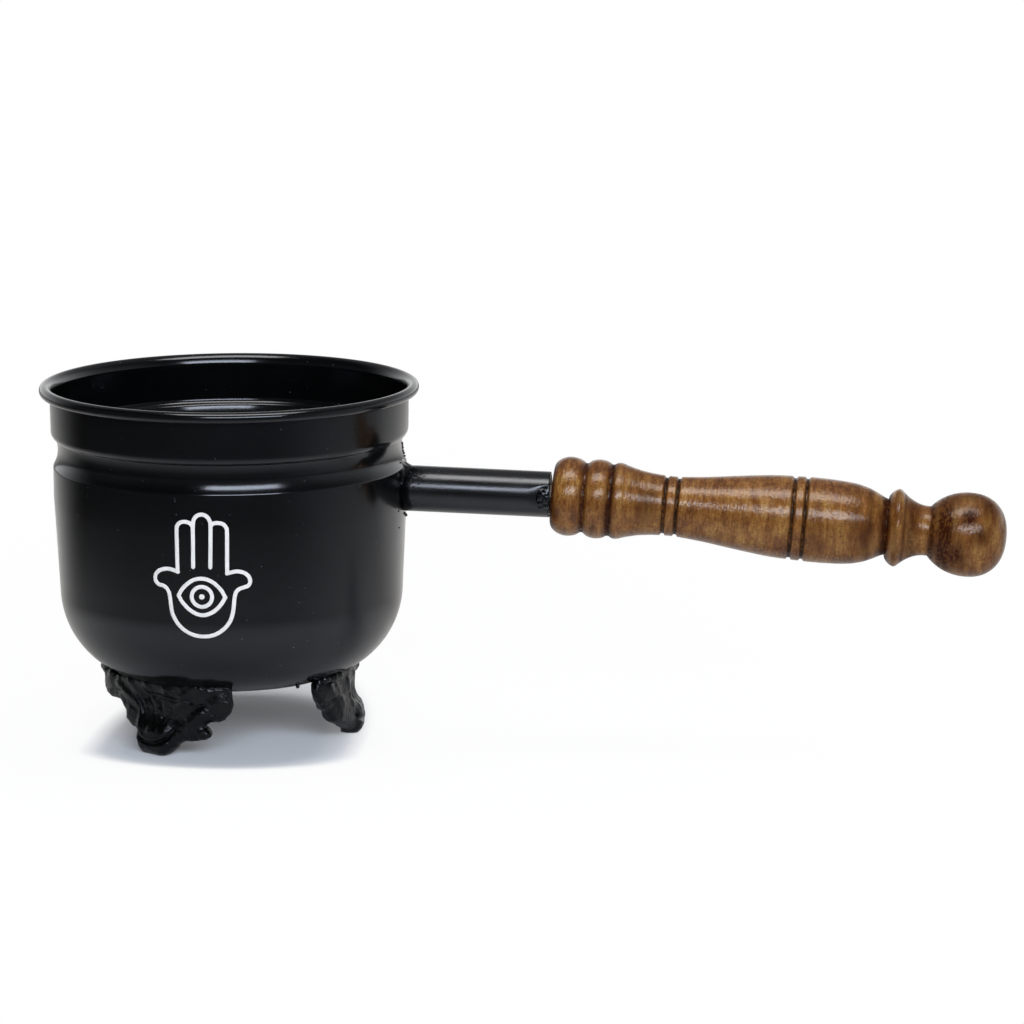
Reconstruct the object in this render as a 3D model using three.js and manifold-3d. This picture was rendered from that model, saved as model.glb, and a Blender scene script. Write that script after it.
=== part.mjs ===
// Hand censer: a pressed steel pot on three cast feet, with a welded tube stem and a turned wooden handle.
// Millimetres, +Z up. The handle points along +X, and the feet stand on Z = 0.
import * as THREE from "three";
import { mergeVertices } from "three/addons/utils/BufferGeometryUtils.js";
import Module from "manifold-3d";

// Clearance between pieces that are welded, seated or pressed together, and how far cuts run past a piece.
const seatGap = 0.3;
const overrun = 2;

// Pot: one sheet, from the flat bottom to the rolled rim. Heights follow each other from the underside up.
const sheet = 0.8;
const bodyRadius = 49.75;
const bodyTaper = 1.3;
const cornerWidth = 24.9;
const cornerHeight = 25.2;
const taperHeight = 26.5;
const straightHeight = 8.4;
const flareHeight = 3.1;
const grooveDepth = 1.5;
const grooveHeight = 4.8;
const creaseUndercut = 0.2;
const bandRise = 1.1;
const bandStep = 0.62;
const bandHeight = 9.3;
const lipHeight = 3.3;
const shoulderBend = 0.7;
const grooveBend = 2;
const creaseBend = 0.5;
const bandBend = 0.5;
const curlBore = 0.675;
const curlSweep = THREE.MathUtils.degToRad(290);
const potSides = 48;
const cornerSteps = 7;
const bendSteps = 2;
const creaseSteps = 1;
const curlSteps = 7;

// Feet: three alike, each cast as a bent plate with a scroll at both ends and a toe in the middle.
// Each is set by hand, so it has its own direction from the handle and its own lean about its sole.
const footHeight = 17.3;
const footAngles = {
  handle: { turn: THREE.MathUtils.degToRad(3), lean: 0 },
  rear: { turn: THREE.MathUtils.degToRad(121), lean: THREE.MathUtils.degToRad(2) },
  front: { turn: THREE.MathUtils.degToRad(-122), lean: THREE.MathUtils.degToRad(-6) },
};
const footInset = 11.95;
const footBend = 32;
const footHalfWidth = 24;
const footThickness = 4.6;
const toeReach = 2.2;
const soleDepth = 2.6;
const veinRadius = 1.1;
const veinCount = 5;
const scrollRadius = 3.6;
const scrollProud = 1;
const footSides = 60;
const outlineSteps = 2;
const veinSides = 6;
const veinSteps = 5;
const scrollSides = 14;

// Stem: a tube whose top is level with the pot's shoulder, sloping down a little towards the handle.
const stemRadius = 6.45;
const stemWall = 1.2;
const stemLength = 41.5;
const stemSlope = THREE.MathUtils.degToRad(1.7);
const stemSides = 32;

// Notch in the stem's end, on the side away from +Y, and the plug of weld that fills it.
const notchDepth = 3.4;
const notchWidth = 6.6;
const plugProud = 0.5;
const notchSteps = 8;

// Weld beads round the stem and at the ends of each foot.
const stemBeadRadius = 1.4;
const stemBeadLump = 0.25;
const stemBeadLumps = 11;
const stemBeadSeatShare = 0.33;
const lumpSteps = 4;
const footBeadRadius = 1.4;
const footBeadLength = 7;
const footBeadSteps = 4;
const beadSides = 8;

// Stud: a shank that fills the stem's end, and a ringed tang in the blind bore of the handle.
const shankLength = 20;
const tangRadius = 3.2;
const tangLength = 38;
const tangRings = 8;
const tangRingProud = 0.6;
const tangPoint = 4;
const boreSpare = 3;
const studSides = 16;

// Handle: turned wood. The lengths follow each other from the face at the stem to the ball's tip.
const handleSag = THREE.MathUtils.degToRad(2.9);
const faceRadius = 8.2;
const beadRadius = 11.15;
const beadDip = 1.5;
const frontBeadLength = 9;
const middleBeadLength = 7.4;
const rearBeadLength = 3.4;
const rearBeadRadius = 10.8;
const rearBeadDip = 0.4;
const gripLength = 73.8;
const gripRadius = 11.83;
const burnWidth = 1.3;
const burnDepth = 0.6;
const burnPitch = 3.5;
const collarValley = 7.8;
const collarRise = 3.4;
const collarRadius = 10.85;
const coveLength = 8;
const coveEase = 1.7;
const neckLength = 0.6;
const neckRadius = 6.95;
const ballRadius = 11.75;
const ballBackLength = 10.7;
const ballTipLength = 10.9;
const ballFullness = 2.3;
const handleSides = 24;
const turnSteps = 4;

// Half of a foot's front outline, and half of its toe's: shares of its half width and its height, upwards.
const footOutlineShares = [
  [0.1, 0], [0.2, 0.06], [0.26, 0.2], [0.35, 0.3], [0.5, 0.3], [0.64, 0.39],
  [0.6, 0.49], [0.75, 0.61], [0.9, 0.67], [1, 0.83], [1, 1.01], [0.94, 1.2],
];
const toeOutlineShares = [[0.1, 0], [0.2, 0.06], [0.25, 0.2], [0.24, 0.38], [0.13, 0.52]];
// The toe's nose, seen from the side: shares of its reach and of the foot's height.
const toeNoseShares = [[0.14, 0], [0.73, 0.08], [1, 0.21], [0.68, 0.4], [0, 0.53]];
// The heel behind the sole: shares of the plate's thickness and of the foot's height.
const heelShares = [[1, 0.36], [0.85, 0.12]];
// The grip's turned outline: shares of its length and of its largest radius.
const gripShares = [
  [0.023, 0.839], [0.069, 0.771], [0.114, 0.73], [0.215, 0.721], [0.318, 0.778], [0.421, 0.862],
  [0.557, 0.963], [0.734, 1], [0.81, 0.992], [0.875, 0.957], [0.921, 0.885], [0.966, 0.771],
];
// Where each pair of burned grooves starts on the grip, as shares of its length.
const burnShares = [0.157, 0.637];
// How far along their lengths the points of the cove and of the ball's two halves lie.
const coveShares = [0.15, 0.35, 0.6, 1];
const ballBackShares = [1, 0.8, 0.55, 0.3];
const ballTipShares = [0, 0.3, 0.55, 0.75, 0.88, 0.96];
// Where the veins and scrolls lie on a foot: shares of its height, and of its width about the middle.
const veinPathShares = [0, 0.5, 1];
const veinTopShare = 0.95;
const veinFootShare = 0.42;
const veinSpreadShare = 0.52;
const veinGatherShare = 0.24;
const scrollHeightShare = 0.86;
const scrollPlaceShare = 0.82;

// Sizes that follow from the ones above.
const lowRadius = bodyRadius - bodyTaper;
const floorRadius = lowRadius - cornerWidth;
const grooveRadius = bodyRadius - grooveDepth;
const bandRadius = bodyRadius + bandStep;
const shoulderZ = cornerHeight + taperHeight + straightHeight;
const grooveFootZ = shoulderZ + flareHeight;
const creaseZ = grooveFootZ + grooveHeight;
const bandZ = creaseZ + bandRise;
const lipZ = bandZ + bandHeight;
const curlCentre = bandRadius + curlBore + sheet;
const footReach = floorRadius + footInset;
const bendCentre = footReach - footBend;
const footHalfAngle = footHalfWidth / footBend;
const footBlankTop = footHeight + cornerHeight / 2;
const stemBore = stemRadius - stemWall;
const stemEnd = stemLength - seatGap - stemRadius * Math.sin(handleSag);
const shankRadius = stemBore - seatGap;
const tangBore = tangRadius + tangRingProud + seatGap;
const boreDepth = tangLength + tangPoint + boreSpare;
const gripStart = frontBeadLength + middleBeadLength + rearBeadLength;
const collarStart = gripStart + gripLength;
const coveStart = collarStart + collarRise;
const ballStart = coveStart + coveLength + neckLength;
const ballMiddle = ballStart + ballBackLength;

const finishes = {
  paint: { color: 0x17171a, roughness: 0.38, metalness: 0 },
  castPaint: { color: 0x141416, roughness: 0.25, metalness: 0 },
  weldPaint: { color: 0x121214, roughness: 0.2, metalness: 0 },
  steel: { color: 0x8a8c8f, roughness: 0.4, metalness: 1 },
  wood: { color: 0x8a5527, roughness: 0.35, metalness: 0 },
};

const wasm = await Module();
wasm.setup();

// A closed geometry as a solid that can be cut and joined.
function solidOf(geometry) {
  const bare = geometry.clone();
  bare.deleteAttribute("normal");
  bare.deleteAttribute("uv");
  const merged = mergeVertices(bare);
  return new wasm.Manifold(new wasm.Mesh({
    numProp: 3,
    vertProperties: new Float32Array(merged.attributes.position.array),
    triVerts: new Uint32Array(merged.index.array),
  }));
}

// A solid's surface as a geometry with flat normals.
function geometryOf(solid) {
  const { vertProperties, triVerts } = solid.getMesh();
  const indexed = new THREE.BufferGeometry();
  indexed.setAttribute("position", new THREE.BufferAttribute(vertProperties, 3));
  indexed.setIndex(new THREE.BufferAttribute(triVerts, 1));
  const geometry = indexed.toNonIndexed();
  geometry.computeVertexNormals();
  return geometry;
}

function pieceOf(name, geometry, finish) {
  const mesh = new THREE.Mesh(geometry, new THREE.MeshStandardMaterial(finishes[finish]));
  mesh.name = name;
  return mesh;
}

// A closed profile of radii and heights, turned about +Z.
function turned(points, sides) {
  return new THREE.LatheGeometry(points, sides).rotateX(Math.PI / 2);
}

// A closed profile of radii and lengths, turned about +X.
function turnedAlong(points, sides) {
  return turned(points, sides).rotateY(Math.PI / 2);
}

// A round bar along +X from one place to another.
function bar(radius, from, to, sides) {
  const profile = [[0, from], [radius, from], [radius, to], [0, to]];
  return turnedAlong(profile.map(([r, x]) => new THREE.Vector2(r, x)), sides);
}

// Points on an elliptical arc, both ends kept.
function arc(centreX, centreY, radiusX, radiusY, from, to, steps) {
  return Array.from({ length: steps + 1 }, (_, i) => {
    const angle = from + ((to - from) * i) / steps;
    return new THREE.Vector2(centreX + radiusX * Math.cos(angle), centreY + radiusY * Math.sin(angle));
  });
}

// The corner between two straight runs, rounded with a radius.
function rounded(before, corner, after, radius, steps) {
  const inward = before.clone().sub(corner).normalize();
  const onward = after.clone().sub(corner).normalize();
  const half = inward.angleTo(onward) / 2;
  const centre = inward.clone().add(onward).setLength(radius / Math.sin(half)).add(corner);
  const start = inward.setLength(radius / Math.tan(half)).add(corner).sub(centre);
  const end = onward.setLength(radius / Math.tan(half)).add(corner).sub(centre);
  const turn = Math.atan2(start.cross(end), start.dot(end));
  return arc(centre.x, centre.y, radius, radius, start.angle(), start.angle() + turn, steps);
}

// A path moved to its left by a distance. It starts on the axis and stays there.
function offsetPath(points, distance) {
  return points.map((point, i) => {
    const incoming = i > 0 ? point.clone().sub(points[i - 1]).normalize() : new THREE.Vector2(1, 0);
    const next = points[i + 1];
    const outgoing = next ? next.clone().sub(point).normalize() : incoming;
    const along = incoming.clone().add(outgoing).normalize();
    const reach = distance / along.dot(incoming);
    return new THREE.Vector2(i > 0 ? point.x - along.y * reach : 0, point.y + along.x * reach);
  });
}

// The outer face of the pot's sheet, from the axis at the underside to the top of the neck band.
function potFace() {
  const wide = new THREE.Vector2(bodyRadius, cornerHeight + taperHeight);
  const shoulder = new THREE.Vector2(bodyRadius, shoulderZ);
  const grooveFoot = new THREE.Vector2(grooveRadius, grooveFootZ);
  const crease = new THREE.Vector2(grooveRadius - creaseUndercut, creaseZ);
  const band = new THREE.Vector2(bandRadius, bandZ);
  const bandTop = new THREE.Vector2(bandRadius, lipZ);
  return [
    new THREE.Vector2(0, 0),
    ...arc(floorRadius, cornerHeight, cornerWidth, cornerHeight, -Math.PI / 2, 0, cornerSteps),
    wide,
    ...rounded(wide, shoulder, grooveFoot, shoulderBend + sheet, bendSteps),
    ...rounded(shoulder, grooveFoot, crease, grooveBend, bendSteps),
    ...rounded(grooveFoot, crease, band, creaseBend, creaseSteps),
    ...rounded(crease, band, bandTop, bandBend + sheet, bendSteps),
    bandTop,
  ];
}

// The sheet's outer face above the band: it leans out by half its thickness and curls over into the rim.
function rimCurl() {
  const lean = new THREE.Vector2(bandRadius + sheet / 2, lipZ + lipHeight / 2);
  const end = Math.PI - curlSweep;
  const curl = arc(curlCentre, lipZ + lipHeight, curlBore, curlBore, Math.PI, end, curlSteps);
  return [lean, ...curl];
}

function potShell() {
  const outside = [...potFace(), ...rimCurl()];
  const inside = offsetPath(outside, sheet).reverse();
  return turned([...outside, ...inside], potSides).translate(0, 0, footHeight);
}

// The space that the pot fills, with a clearance round it, for cutting what seats on it.
function potBlank(clearance) {
  const face = offsetPath(potFace(), -clearance);
  const lid = new THREE.Vector2(0, face.at(-1).y);
  return solidOf(turned([...face, lid], potSides).translate(0, 0, footHeight));
}

// The height of the pot's underside at a distance from its axis.
function undersideZ(radius) {
  const share = THREE.MathUtils.clamp((radius - floorRadius) / cornerWidth, 0, 1);
  return footHeight + cornerHeight * (1 - Math.sqrt(1 - share * share));
}

// A place on a foot's bent plate: an angle about the bend, a height, and how far it stands out of the face.
function onFoot(angle, z, out) {
  const radius = footBend + out;
  return new THREE.Vector3(bendCentre + radius * Math.cos(angle), radius * Math.sin(angle), z);
}

// A section of the foot turned about the bend, from its front face's radii and heights.
function footRing(front) {
  const heel = heelShares.map(([deep, up]) => {
    return new THREE.Vector2(footBend - deep * footThickness, up * footHeight);
  });
  const profile = [
    new THREE.Vector2(front[0].x - soleDepth, 0),
    ...front,
    new THREE.Vector2(footBend - footThickness, front.at(-1).y),
    ...heel,
  ];
  return solidOf(turned([...profile, profile[0].clone()], footSides).translate(bendCentre, 0, 0));
}

// A front outline, bent round with the plate and cut square through it, from the shares of its right half.
function footCut(shares, top) {
  const half = shares.map(([out, up]) => new THREE.Vector2(out * footHalfWidth, up * footHeight));
  const right = new THREE.SplineCurve(half).getPoints(half.length * outlineSteps);
  const side = [...right, new THREE.Vector2(right.at(-1).x, top)];
  const left = side.map((point) => new THREE.Vector2(-point.x, point.y)).reverse();
  const reach = (footBend + toeReach + overrun) / Math.cos(footHalfAngle);
  const depth = reach - (footBend - footThickness) / 2;
  const shape = new THREE.Shape([...side, ...left]);
  const cut = new THREE.ExtrudeGeometry(shape, { depth, bevelEnabled: false });
  const places = cut.attributes.position;
  for (let i = 0; i < places.count; i += 1) {
    const angle = places.getX(i) / footBend;
    const radius = reach - depth + places.getZ(i);
    places.setXYZ(i, bendCentre + radius * Math.cos(angle), radius * Math.sin(angle), places.getY(i));
  }
  return solidOf(cut);
}

// The leaf: an even plate behind the whole outline.
function footLeaf() {
  const sole = new THREE.Vector2(footBend + toeNoseShares[0][0] * toeReach, 0);
  const front = [sole, new THREE.Vector2(footBend, footBlankTop)];
  return footRing(front).intersect(footCut(footOutlineShares, footBlankTop));
}

// The toe: a rounded nose on a flat sole, in front of the leaf's lower end.
function footToe() {
  const nose = toeNoseShares.map(([out, up]) => {
    return new THREE.Vector2(footBend + out * toeReach, up * footHeight);
  });
  return footRing(nose).intersect(footCut(toeOutlineShares, footBlankTop));
}

// A round rod of cast or welded metal along a smooth line.
function rod(places, radius, sides, steps) {
  const section = new THREE.Shape(arc(0, 0, radius, radius, 0, 2 * Math.PI, sides).slice(0, sides));
  const extrudePath = new THREE.CatmullRomCurve3(places);
  return solidOf(new THREE.ExtrudeGeometry(section, { steps, extrudePath, bevelEnabled: false }));
}

// One raised vein of the leaf, from the top of the foot down to the toe. Its place runs from -1 to 1.
function footVein(place) {
  const topZ = undersideZ(footReach);
  const lines = veinPathShares.map((share) => {
    const spread = THREE.MathUtils.lerp(veinSpreadShare, veinGatherShare, Math.sqrt(share));
    const z = THREE.MathUtils.lerp(topZ * veinTopShare, footHeight * veinFootShare, share);
    return onFoot(place * footHalfAngle * spread, z, 0);
  });
  return rod(lines, veinRadius, veinSides, veinSteps);
}

// The round scroll on one end of the foot, with a clearance round it where a weld bead is cut to it.
function footScroll(side, clearance) {
  const angle = side * footHalfAngle * scrollPlaceShare;
  const radius = scrollRadius + clearance;
  const depth = footThickness / 2 + scrollProud + clearance;
  const disc = new THREE.CylinderGeometry(radius - scrollProud, radius, depth, scrollSides);
  const place = onFoot(angle, footHeight * scrollHeightShare, scrollProud + clearance - depth / 2);
  return solidOf(disc.rotateZ(angle - Math.PI / 2).translate(place.x, place.y, place.z));
}

// A solid of the foot, leaned about the line from the pot's axis to its sole.
function leaned(solid, lean) {
  return solid.rotate([THREE.MathUtils.radToDeg(lean), 0, 0]);
}

// A foot in its own frame: the pot's axis is Z, and the toe points along +X.
function footCasting(lean, blank) {
  let casting = footLeaf().add(footToe());
  for (let i = 0; i < veinCount; i += 1) {
    casting = casting.add(footVein((2 * i) / (veinCount - 1) - 1));
  }
  casting = leaned(casting.add(footScroll(-1, 0)).add(footScroll(1, 0)), lean);
  const span = 2 * (footReach + footHalfWidth + overrun);
  const floor = new THREE.BoxGeometry(span, span, footHeight);
  const below = solidOf(floor.translate(0, 0, -footHeight / 2));
  return geometryOf(casting.subtract(blank).subtract(below));
}

// The weld bead in the corner between the pot's underside and one end of a foot.
function footBead(side, lean, blank) {
  const middle = side * footHalfAngle * scrollPlaceShare;
  const places = [-1, 0, 1].map((step) => {
    const place = onFoot(middle + (step * footBeadLength) / (2 * footBend), 0, footBeadRadius / 2);
    return place.setZ(undersideZ(Math.hypot(place.x, place.y)) - footBeadRadius / 2);
  });
  const clearOf = footBend + seatGap;
  const front = [new THREE.Vector2(clearOf, 0), new THREE.Vector2(clearOf, footBlankTop)];
  const casting = leaned(footRing(front).add(footScroll(side, seatGap)), lean);
  return geometryOf(rod(places, footBeadRadius, beadSides, footBeadSteps).subtract(casting).subtract(blank));
}

// The three feet, each in a group turned to its place by hand and eye, with a bead at both ends.
function addFeet(parent) {
  for (const [name, { turn, lean }] of Object.entries(footAngles)) {
    const blank = potBlank(seatGap).rotate([0, 0, -THREE.MathUtils.radToDeg(turn)]);
    const foot = new THREE.Group();
    foot.rotation.z = turn;
    foot.add(pieceOf(`foot_${name}`, footCasting(lean, blank), "castPaint"));
    foot.add(pieceOf(`foot_weld_${name}_left`, footBead(-1, lean, blank), "weldPaint"));
    foot.add(pieceOf(`foot_weld_${name}_right`, footBead(1, lean, blank), "weldPaint"));
    parent.add(foot);
  }
}

// The half-round notch at the stem's end, as an outline of lengths and heights.
function notchOutline(clearance, end) {
  const radius = notchWidth / 2 - clearance;
  const centre = stemEnd - notchDepth + notchWidth / 2;
  const round = arc(centre, 0, radius, radius, Math.PI / 2, (3 * Math.PI) / 2, notchSteps);
  return new THREE.Shape([...round, new THREE.Vector2(end, -radius), new THREE.Vector2(end, radius)]);
}

// The notch as a body that runs out of the stem's axis towards -Y.
function notchBody(clearance, end) {
  const shape = notchOutline(clearance, end);
  const body = new THREE.ExtrudeGeometry(shape, { depth: stemRadius + overrun, bevelEnabled: false });
  const outwards = new THREE.Matrix4().makeBasis(
    new THREE.Vector3(1, 0, 0),
    new THREE.Vector3(0, 0, 1),
    new THREE.Vector3(0, -1, 0),
  );
  return solidOf(body.applyMatrix4(outwards));
}

function stemTube(blank) {
  const profile = [
    [stemBore, -stemRadius],
    [stemRadius, -stemRadius],
    [stemRadius, stemEnd],
    [stemBore, stemEnd],
    [stemBore, -stemRadius],
  ].map(([r, x]) => new THREE.Vector2(r, x));
  const tube = solidOf(turnedAlong(profile, stemSides));
  return geometryOf(tube.subtract(blank).subtract(notchBody(0, stemEnd + overrun)));
}

// The bead round the stem at the pot: a ring whose thickness swells and sinks, cut to both.
function stemBead(blank) {
  const ringRadius = stemRadius + stemBeadRadius * stemBeadSeatShare;
  const ring = new THREE.TorusGeometry(ringRadius, stemBeadRadius, beadSides, stemBeadLumps * lumpSteps);
  const places = ring.attributes.position;
  const place = new THREE.Vector3();
  for (let i = 0; i < places.count; i += 1) {
    place.fromBufferAttribute(places, i);
    const angle = Math.atan2(place.y, place.x);
    const core = new THREE.Vector3(Math.cos(angle), Math.sin(angle), 0).multiplyScalar(ringRadius);
    const swell = 1 + (stemBeadLump / stemBeadRadius) * Math.cos(stemBeadLumps * angle);
    place.sub(core).multiplyScalar(swell).add(core);
    places.setXYZ(i, place.x, place.y, place.z);
  }
  const stem = solidOf(bar(stemRadius + seatGap, -stemRadius, stemRadius, stemSides));
  return geometryOf(solidOf(ring.rotateY(Math.PI / 2)).subtract(blank).subtract(stem));
}

// The weld that fills the notch and stands a little proud of the stem.
function studPlug() {
  const skin = solidOf(bar(stemRadius + plugProud, 0, stemEnd, stemSides));
  const core = solidOf(bar(shankRadius + seatGap, -overrun, stemEnd + overrun, stemSides));
  return geometryOf(notchBody(seatGap, stemEnd).intersect(skin).subtract(core));
}

// The stud: a plain shank in the stem and a ringed tang that leans with the handle.
function handleStud() {
  const pitch = tangLength / (tangRings + 1);
  const profile = [[0, -stemRadius], [tangRadius, -stemRadius]];
  for (let i = 1; i <= tangRings; i += 1) {
    profile.push([tangRadius, i * pitch], [tangRadius + tangRingProud, i * pitch + tangRingProud]);
    profile.push([tangRadius, i * pitch + pitch / 2]);
  }
  profile.push([tangRadius, tangLength], [0, tangLength + tangPoint]);
  const tang = turnedAlong(profile.map(([r, x]) => new THREE.Vector2(r, x)), studSides);
  tang.rotateY(handleSag).translate(stemLength, 0, 0);
  const shank = solidOf(bar(shankRadius, stemEnd - shankLength, stemEnd, studSides));
  return geometryOf(shank.add(solidOf(tang)));
}

// One turned bead: two quarter ellipses that meet at its largest radius.
function beadArc(start, length, frontRadius, peakRadius, backRadius, steps) {
  const middle = start + length / 2;
  const front = arc(frontRadius, middle, peakRadius - frontRadius, length / 2, -Math.PI / 2, 0, steps);
  const back = arc(backRadius, middle, peakRadius - backRadius, length / 2, 0, Math.PI / 2, steps);
  return [...front, ...back.slice(1)];
}

// The grip's points with its burned grooves, as radii and lengths along the handle.
function gripOutline() {
  const points = gripShares.map(([along, out]) => {
    return new THREE.Vector2(out * gripRadius, gripStart + along * gripLength);
  });
  const radiusAt = (x) => {
    const next = points.findIndex((point) => point.y > x);
    const before = points[next - 1];
    const share = (x - before.y) / (points[next].y - before.y);
    return THREE.MathUtils.lerp(before.x, points[next].x, share);
  };
  const grooves = burnShares.flatMap((share) => [0, burnPitch].flatMap((step) => {
    const middle = gripStart + share * gripLength + step;
    return [-1, 0, 1].map((edge) => {
      const x = middle + (edge * burnWidth) / 2;
      return new THREE.Vector2(radiusAt(x) - (edge === 0 ? burnDepth : 0), x);
    });
  }));
  return [...points, ...grooves].sort((a, b) => a.y - b.y);
}

// The sharp collar, and the cove that falls from it to the neck.
function collarOutline() {
  const tip = collarRise / 4;
  const cove = coveShares.map((share) => {
    const drop = (1 - share) ** coveEase;
    const radius = THREE.MathUtils.lerp(neckRadius, collarRadius, drop);
    return new THREE.Vector2(radius, coveStart + share * coveLength);
  });
  return [
    new THREE.Vector2(collarValley, collarStart),
    new THREE.Vector2(collarRadius - tip, coveStart - tip),
    new THREE.Vector2(collarRadius, coveStart),
    ...cove,
  ];
}

// The ball: an ellipse from the neck to its middle, and a fuller curve from there to the tip.
function ballOutline() {
  const stretch = ballBackLength / Math.sqrt(1 - (neckRadius / ballRadius) ** 2);
  const back = ballBackShares.map((share) => {
    const x = share * ballBackLength;
    return new THREE.Vector2(ballRadius * Math.sqrt(1 - (x / stretch) ** 2), ballMiddle - x);
  });
  const tip = ballTipShares.map((share) => {
    const radius = ballRadius * (1 - share ** ballFullness) ** (1 / ballFullness);
    return new THREE.Vector2(radius, ballMiddle + share * ballTipLength);
  });
  return [...back, ...tip, new THREE.Vector2(0, ballMiddle + ballTipLength)];
}

function handleGrip() {
  const dip = beadRadius - beadDip;
  const rearDip = rearBeadRadius - rearBeadDip;
  const rearStart = frontBeadLength + middleBeadLength;
  const profile = [
    new THREE.Vector2(0, boreDepth),
    new THREE.Vector2(tangBore, boreDepth),
    new THREE.Vector2(tangBore, 0),
    ...beadArc(0, frontBeadLength, faceRadius, beadRadius, dip, turnSteps),
    ...beadArc(frontBeadLength, middleBeadLength, dip, beadRadius, dip, turnSteps).slice(1),
    ...beadArc(rearStart, rearBeadLength, dip, rearBeadRadius, rearDip, bendSteps).slice(1),
    ...gripOutline(),
    ...collarOutline(),
    ...ballOutline(),
  ];
  return turnedAlong(profile, handleSides);
}

// The stem's group starts on the pot's wall, and the handle's group at the wood's face.
function addStemAndHandle(parent) {
  const stem = new THREE.Group();
  stem.position.set(bodyRadius, 0, footHeight + shoulderZ - stemRadius);
  stem.rotation.y = stemSlope;
  stem.updateMatrix();
  const intoStem = stem.matrix.clone().invert();
  const blank = potBlank(seatGap).transform(intoStem.elements);
  stem.add(pieceOf("stem_tube", stemTube(blank), "paint"));
  stem.add(pieceOf("stem_weld", stemBead(blank), "weldPaint"));
  stem.add(pieceOf("stud_plug_weld", studPlug(), "weldPaint"));
  stem.add(pieceOf("handle_stud", handleStud(), "steel"));
  const handle = new THREE.Group();
  handle.position.x = stemLength;
  handle.rotation.y = handleSag;
  handle.add(pieceOf("handle_grip", handleGrip(), "wood"));
  stem.add(handle);
  parent.add(stem);
}

// The whole censer, moved so that its origin is the middle of its bounding box on the floor.
const group = new THREE.Group();
group.add(pieceOf("pot_shell", potShell(), "paint"));
addFeet(group);
addStemAndHandle(group);
const box = new THREE.Box3().setFromObject(group, true);
group.position.x = -(box.min.x + box.max.x) / 2;
group.position.y = -(box.min.y + box.max.y) / 2;

export default group;
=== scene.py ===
"""Hand censer: a black pot on three cast leaf feet, with a welded stem and a turned wooden handle.

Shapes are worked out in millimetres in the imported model's frame and put into metres as they become meshes.
"""

import logging
import math
from dataclasses import dataclass
from enum import Enum
from typing import Callable

import bpy
import numpy as np
from mathutils import Matrix, Vector


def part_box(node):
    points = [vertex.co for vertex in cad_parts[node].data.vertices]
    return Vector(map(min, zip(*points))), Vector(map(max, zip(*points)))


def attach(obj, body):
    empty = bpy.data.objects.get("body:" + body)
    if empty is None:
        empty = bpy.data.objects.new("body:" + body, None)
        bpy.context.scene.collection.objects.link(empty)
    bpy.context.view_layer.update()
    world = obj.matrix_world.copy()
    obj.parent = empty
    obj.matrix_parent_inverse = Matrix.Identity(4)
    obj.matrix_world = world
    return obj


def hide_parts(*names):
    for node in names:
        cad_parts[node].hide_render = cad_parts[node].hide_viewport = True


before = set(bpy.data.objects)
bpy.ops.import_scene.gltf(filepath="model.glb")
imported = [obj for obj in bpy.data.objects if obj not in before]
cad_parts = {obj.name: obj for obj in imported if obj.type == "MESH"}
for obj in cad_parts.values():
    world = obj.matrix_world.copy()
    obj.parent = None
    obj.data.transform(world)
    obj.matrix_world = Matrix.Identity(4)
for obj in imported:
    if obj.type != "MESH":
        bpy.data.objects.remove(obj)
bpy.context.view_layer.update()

MM = 0.001
TINY = 1e-9
# The Mix node's colour sockets share their names with its number sockets, so they go by number.
MIX_A, MIX_B, MIXED = 6, 7, 2
log = logging.getLogger("censer")

Pairs = tuple[tuple[float, float], ...]
Triples = tuple[tuple[float, float, float], ...]
Layers = tuple[tuple[float, float, int], ...]
Corner = np.ndarray | tuple[float, float, float]
Shape = tuple[np.ndarray, list[np.ndarray]]


# Lines and distances


def arc(
    centre: tuple[float, float], radii: tuple[float, float], start: float, end: float, steps: int,
) -> np.ndarray:
    """Points on an elliptical arc: the centre plus each radius times the cosine or sine of evenly stepped
    angles.

    Args:
        centre: middle of the ellipse.
        radii: its two half widths.
        start: first angle in degrees.
        end: last angle in degrees.
        steps: number of steps between them.

    Returns:
        The points, one row each.
    """
    angles = np.radians(np.linspace(start, end, steps + 1))
    return np.stack([centre[0] + radii[0] * np.cos(angles), centre[1] + radii[1] * np.sin(angles)], 1)


def rounded(
    before: np.ndarray, corner: np.ndarray, after: np.ndarray, radius: float, steps: int,
) -> np.ndarray:
    """Rounds a corner with the circle that touches both runs.

    Args:
        before: a point on the run that comes in.
        corner: the sharp corner.
        after: a point on the run that goes out.
        radius: radius of the bend.
        steps: number of steps along it.

    Returns:
        Points along the bend.
    """
    inward = (before - corner) / np.linalg.norm(before - corner)
    onward = (after - corner) / np.linalg.norm(after - corner)
    half = math.acos(float(np.clip(inward @ onward, -1, 1))) / 2
    middle = (inward + onward) / np.linalg.norm(inward + onward)
    centre = corner + middle * radius / math.sin(half)
    start = corner + inward * radius / math.tan(half) - centre
    end = corner + onward * radius / math.tan(half) - centre
    first = math.degrees(math.atan2(start[1], start[0]))
    turn = math.degrees(math.atan2(start[0] * end[1] - start[1] * end[0], float(start @ end)))
    return arc((centre[0], centre[1]), (radius, radius), first, first + turn, steps)


def offset_path(points: np.ndarray, distance: float) -> np.ndarray:
    """Moves a path to its left: each point along the mean normal of its two runs, stretched at the corner.

    Args:
        points: the path.
        distance: how far it moves.

    Returns:
        The moved points.
    """
    runs = np.diff(points, axis=0)
    runs /= np.linalg.norm(runs, axis=1, keepdims=True)
    before = np.vstack([runs[:1], runs])
    after = np.vstack([runs, runs[-1:]])
    along = before + after
    along /= np.linalg.norm(along, axis=1, keepdims=True)
    reach = distance / np.sum(along * before, 1)
    return points + np.stack([-along[:, 1] * reach, along[:, 0] * reach], 1)


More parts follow.
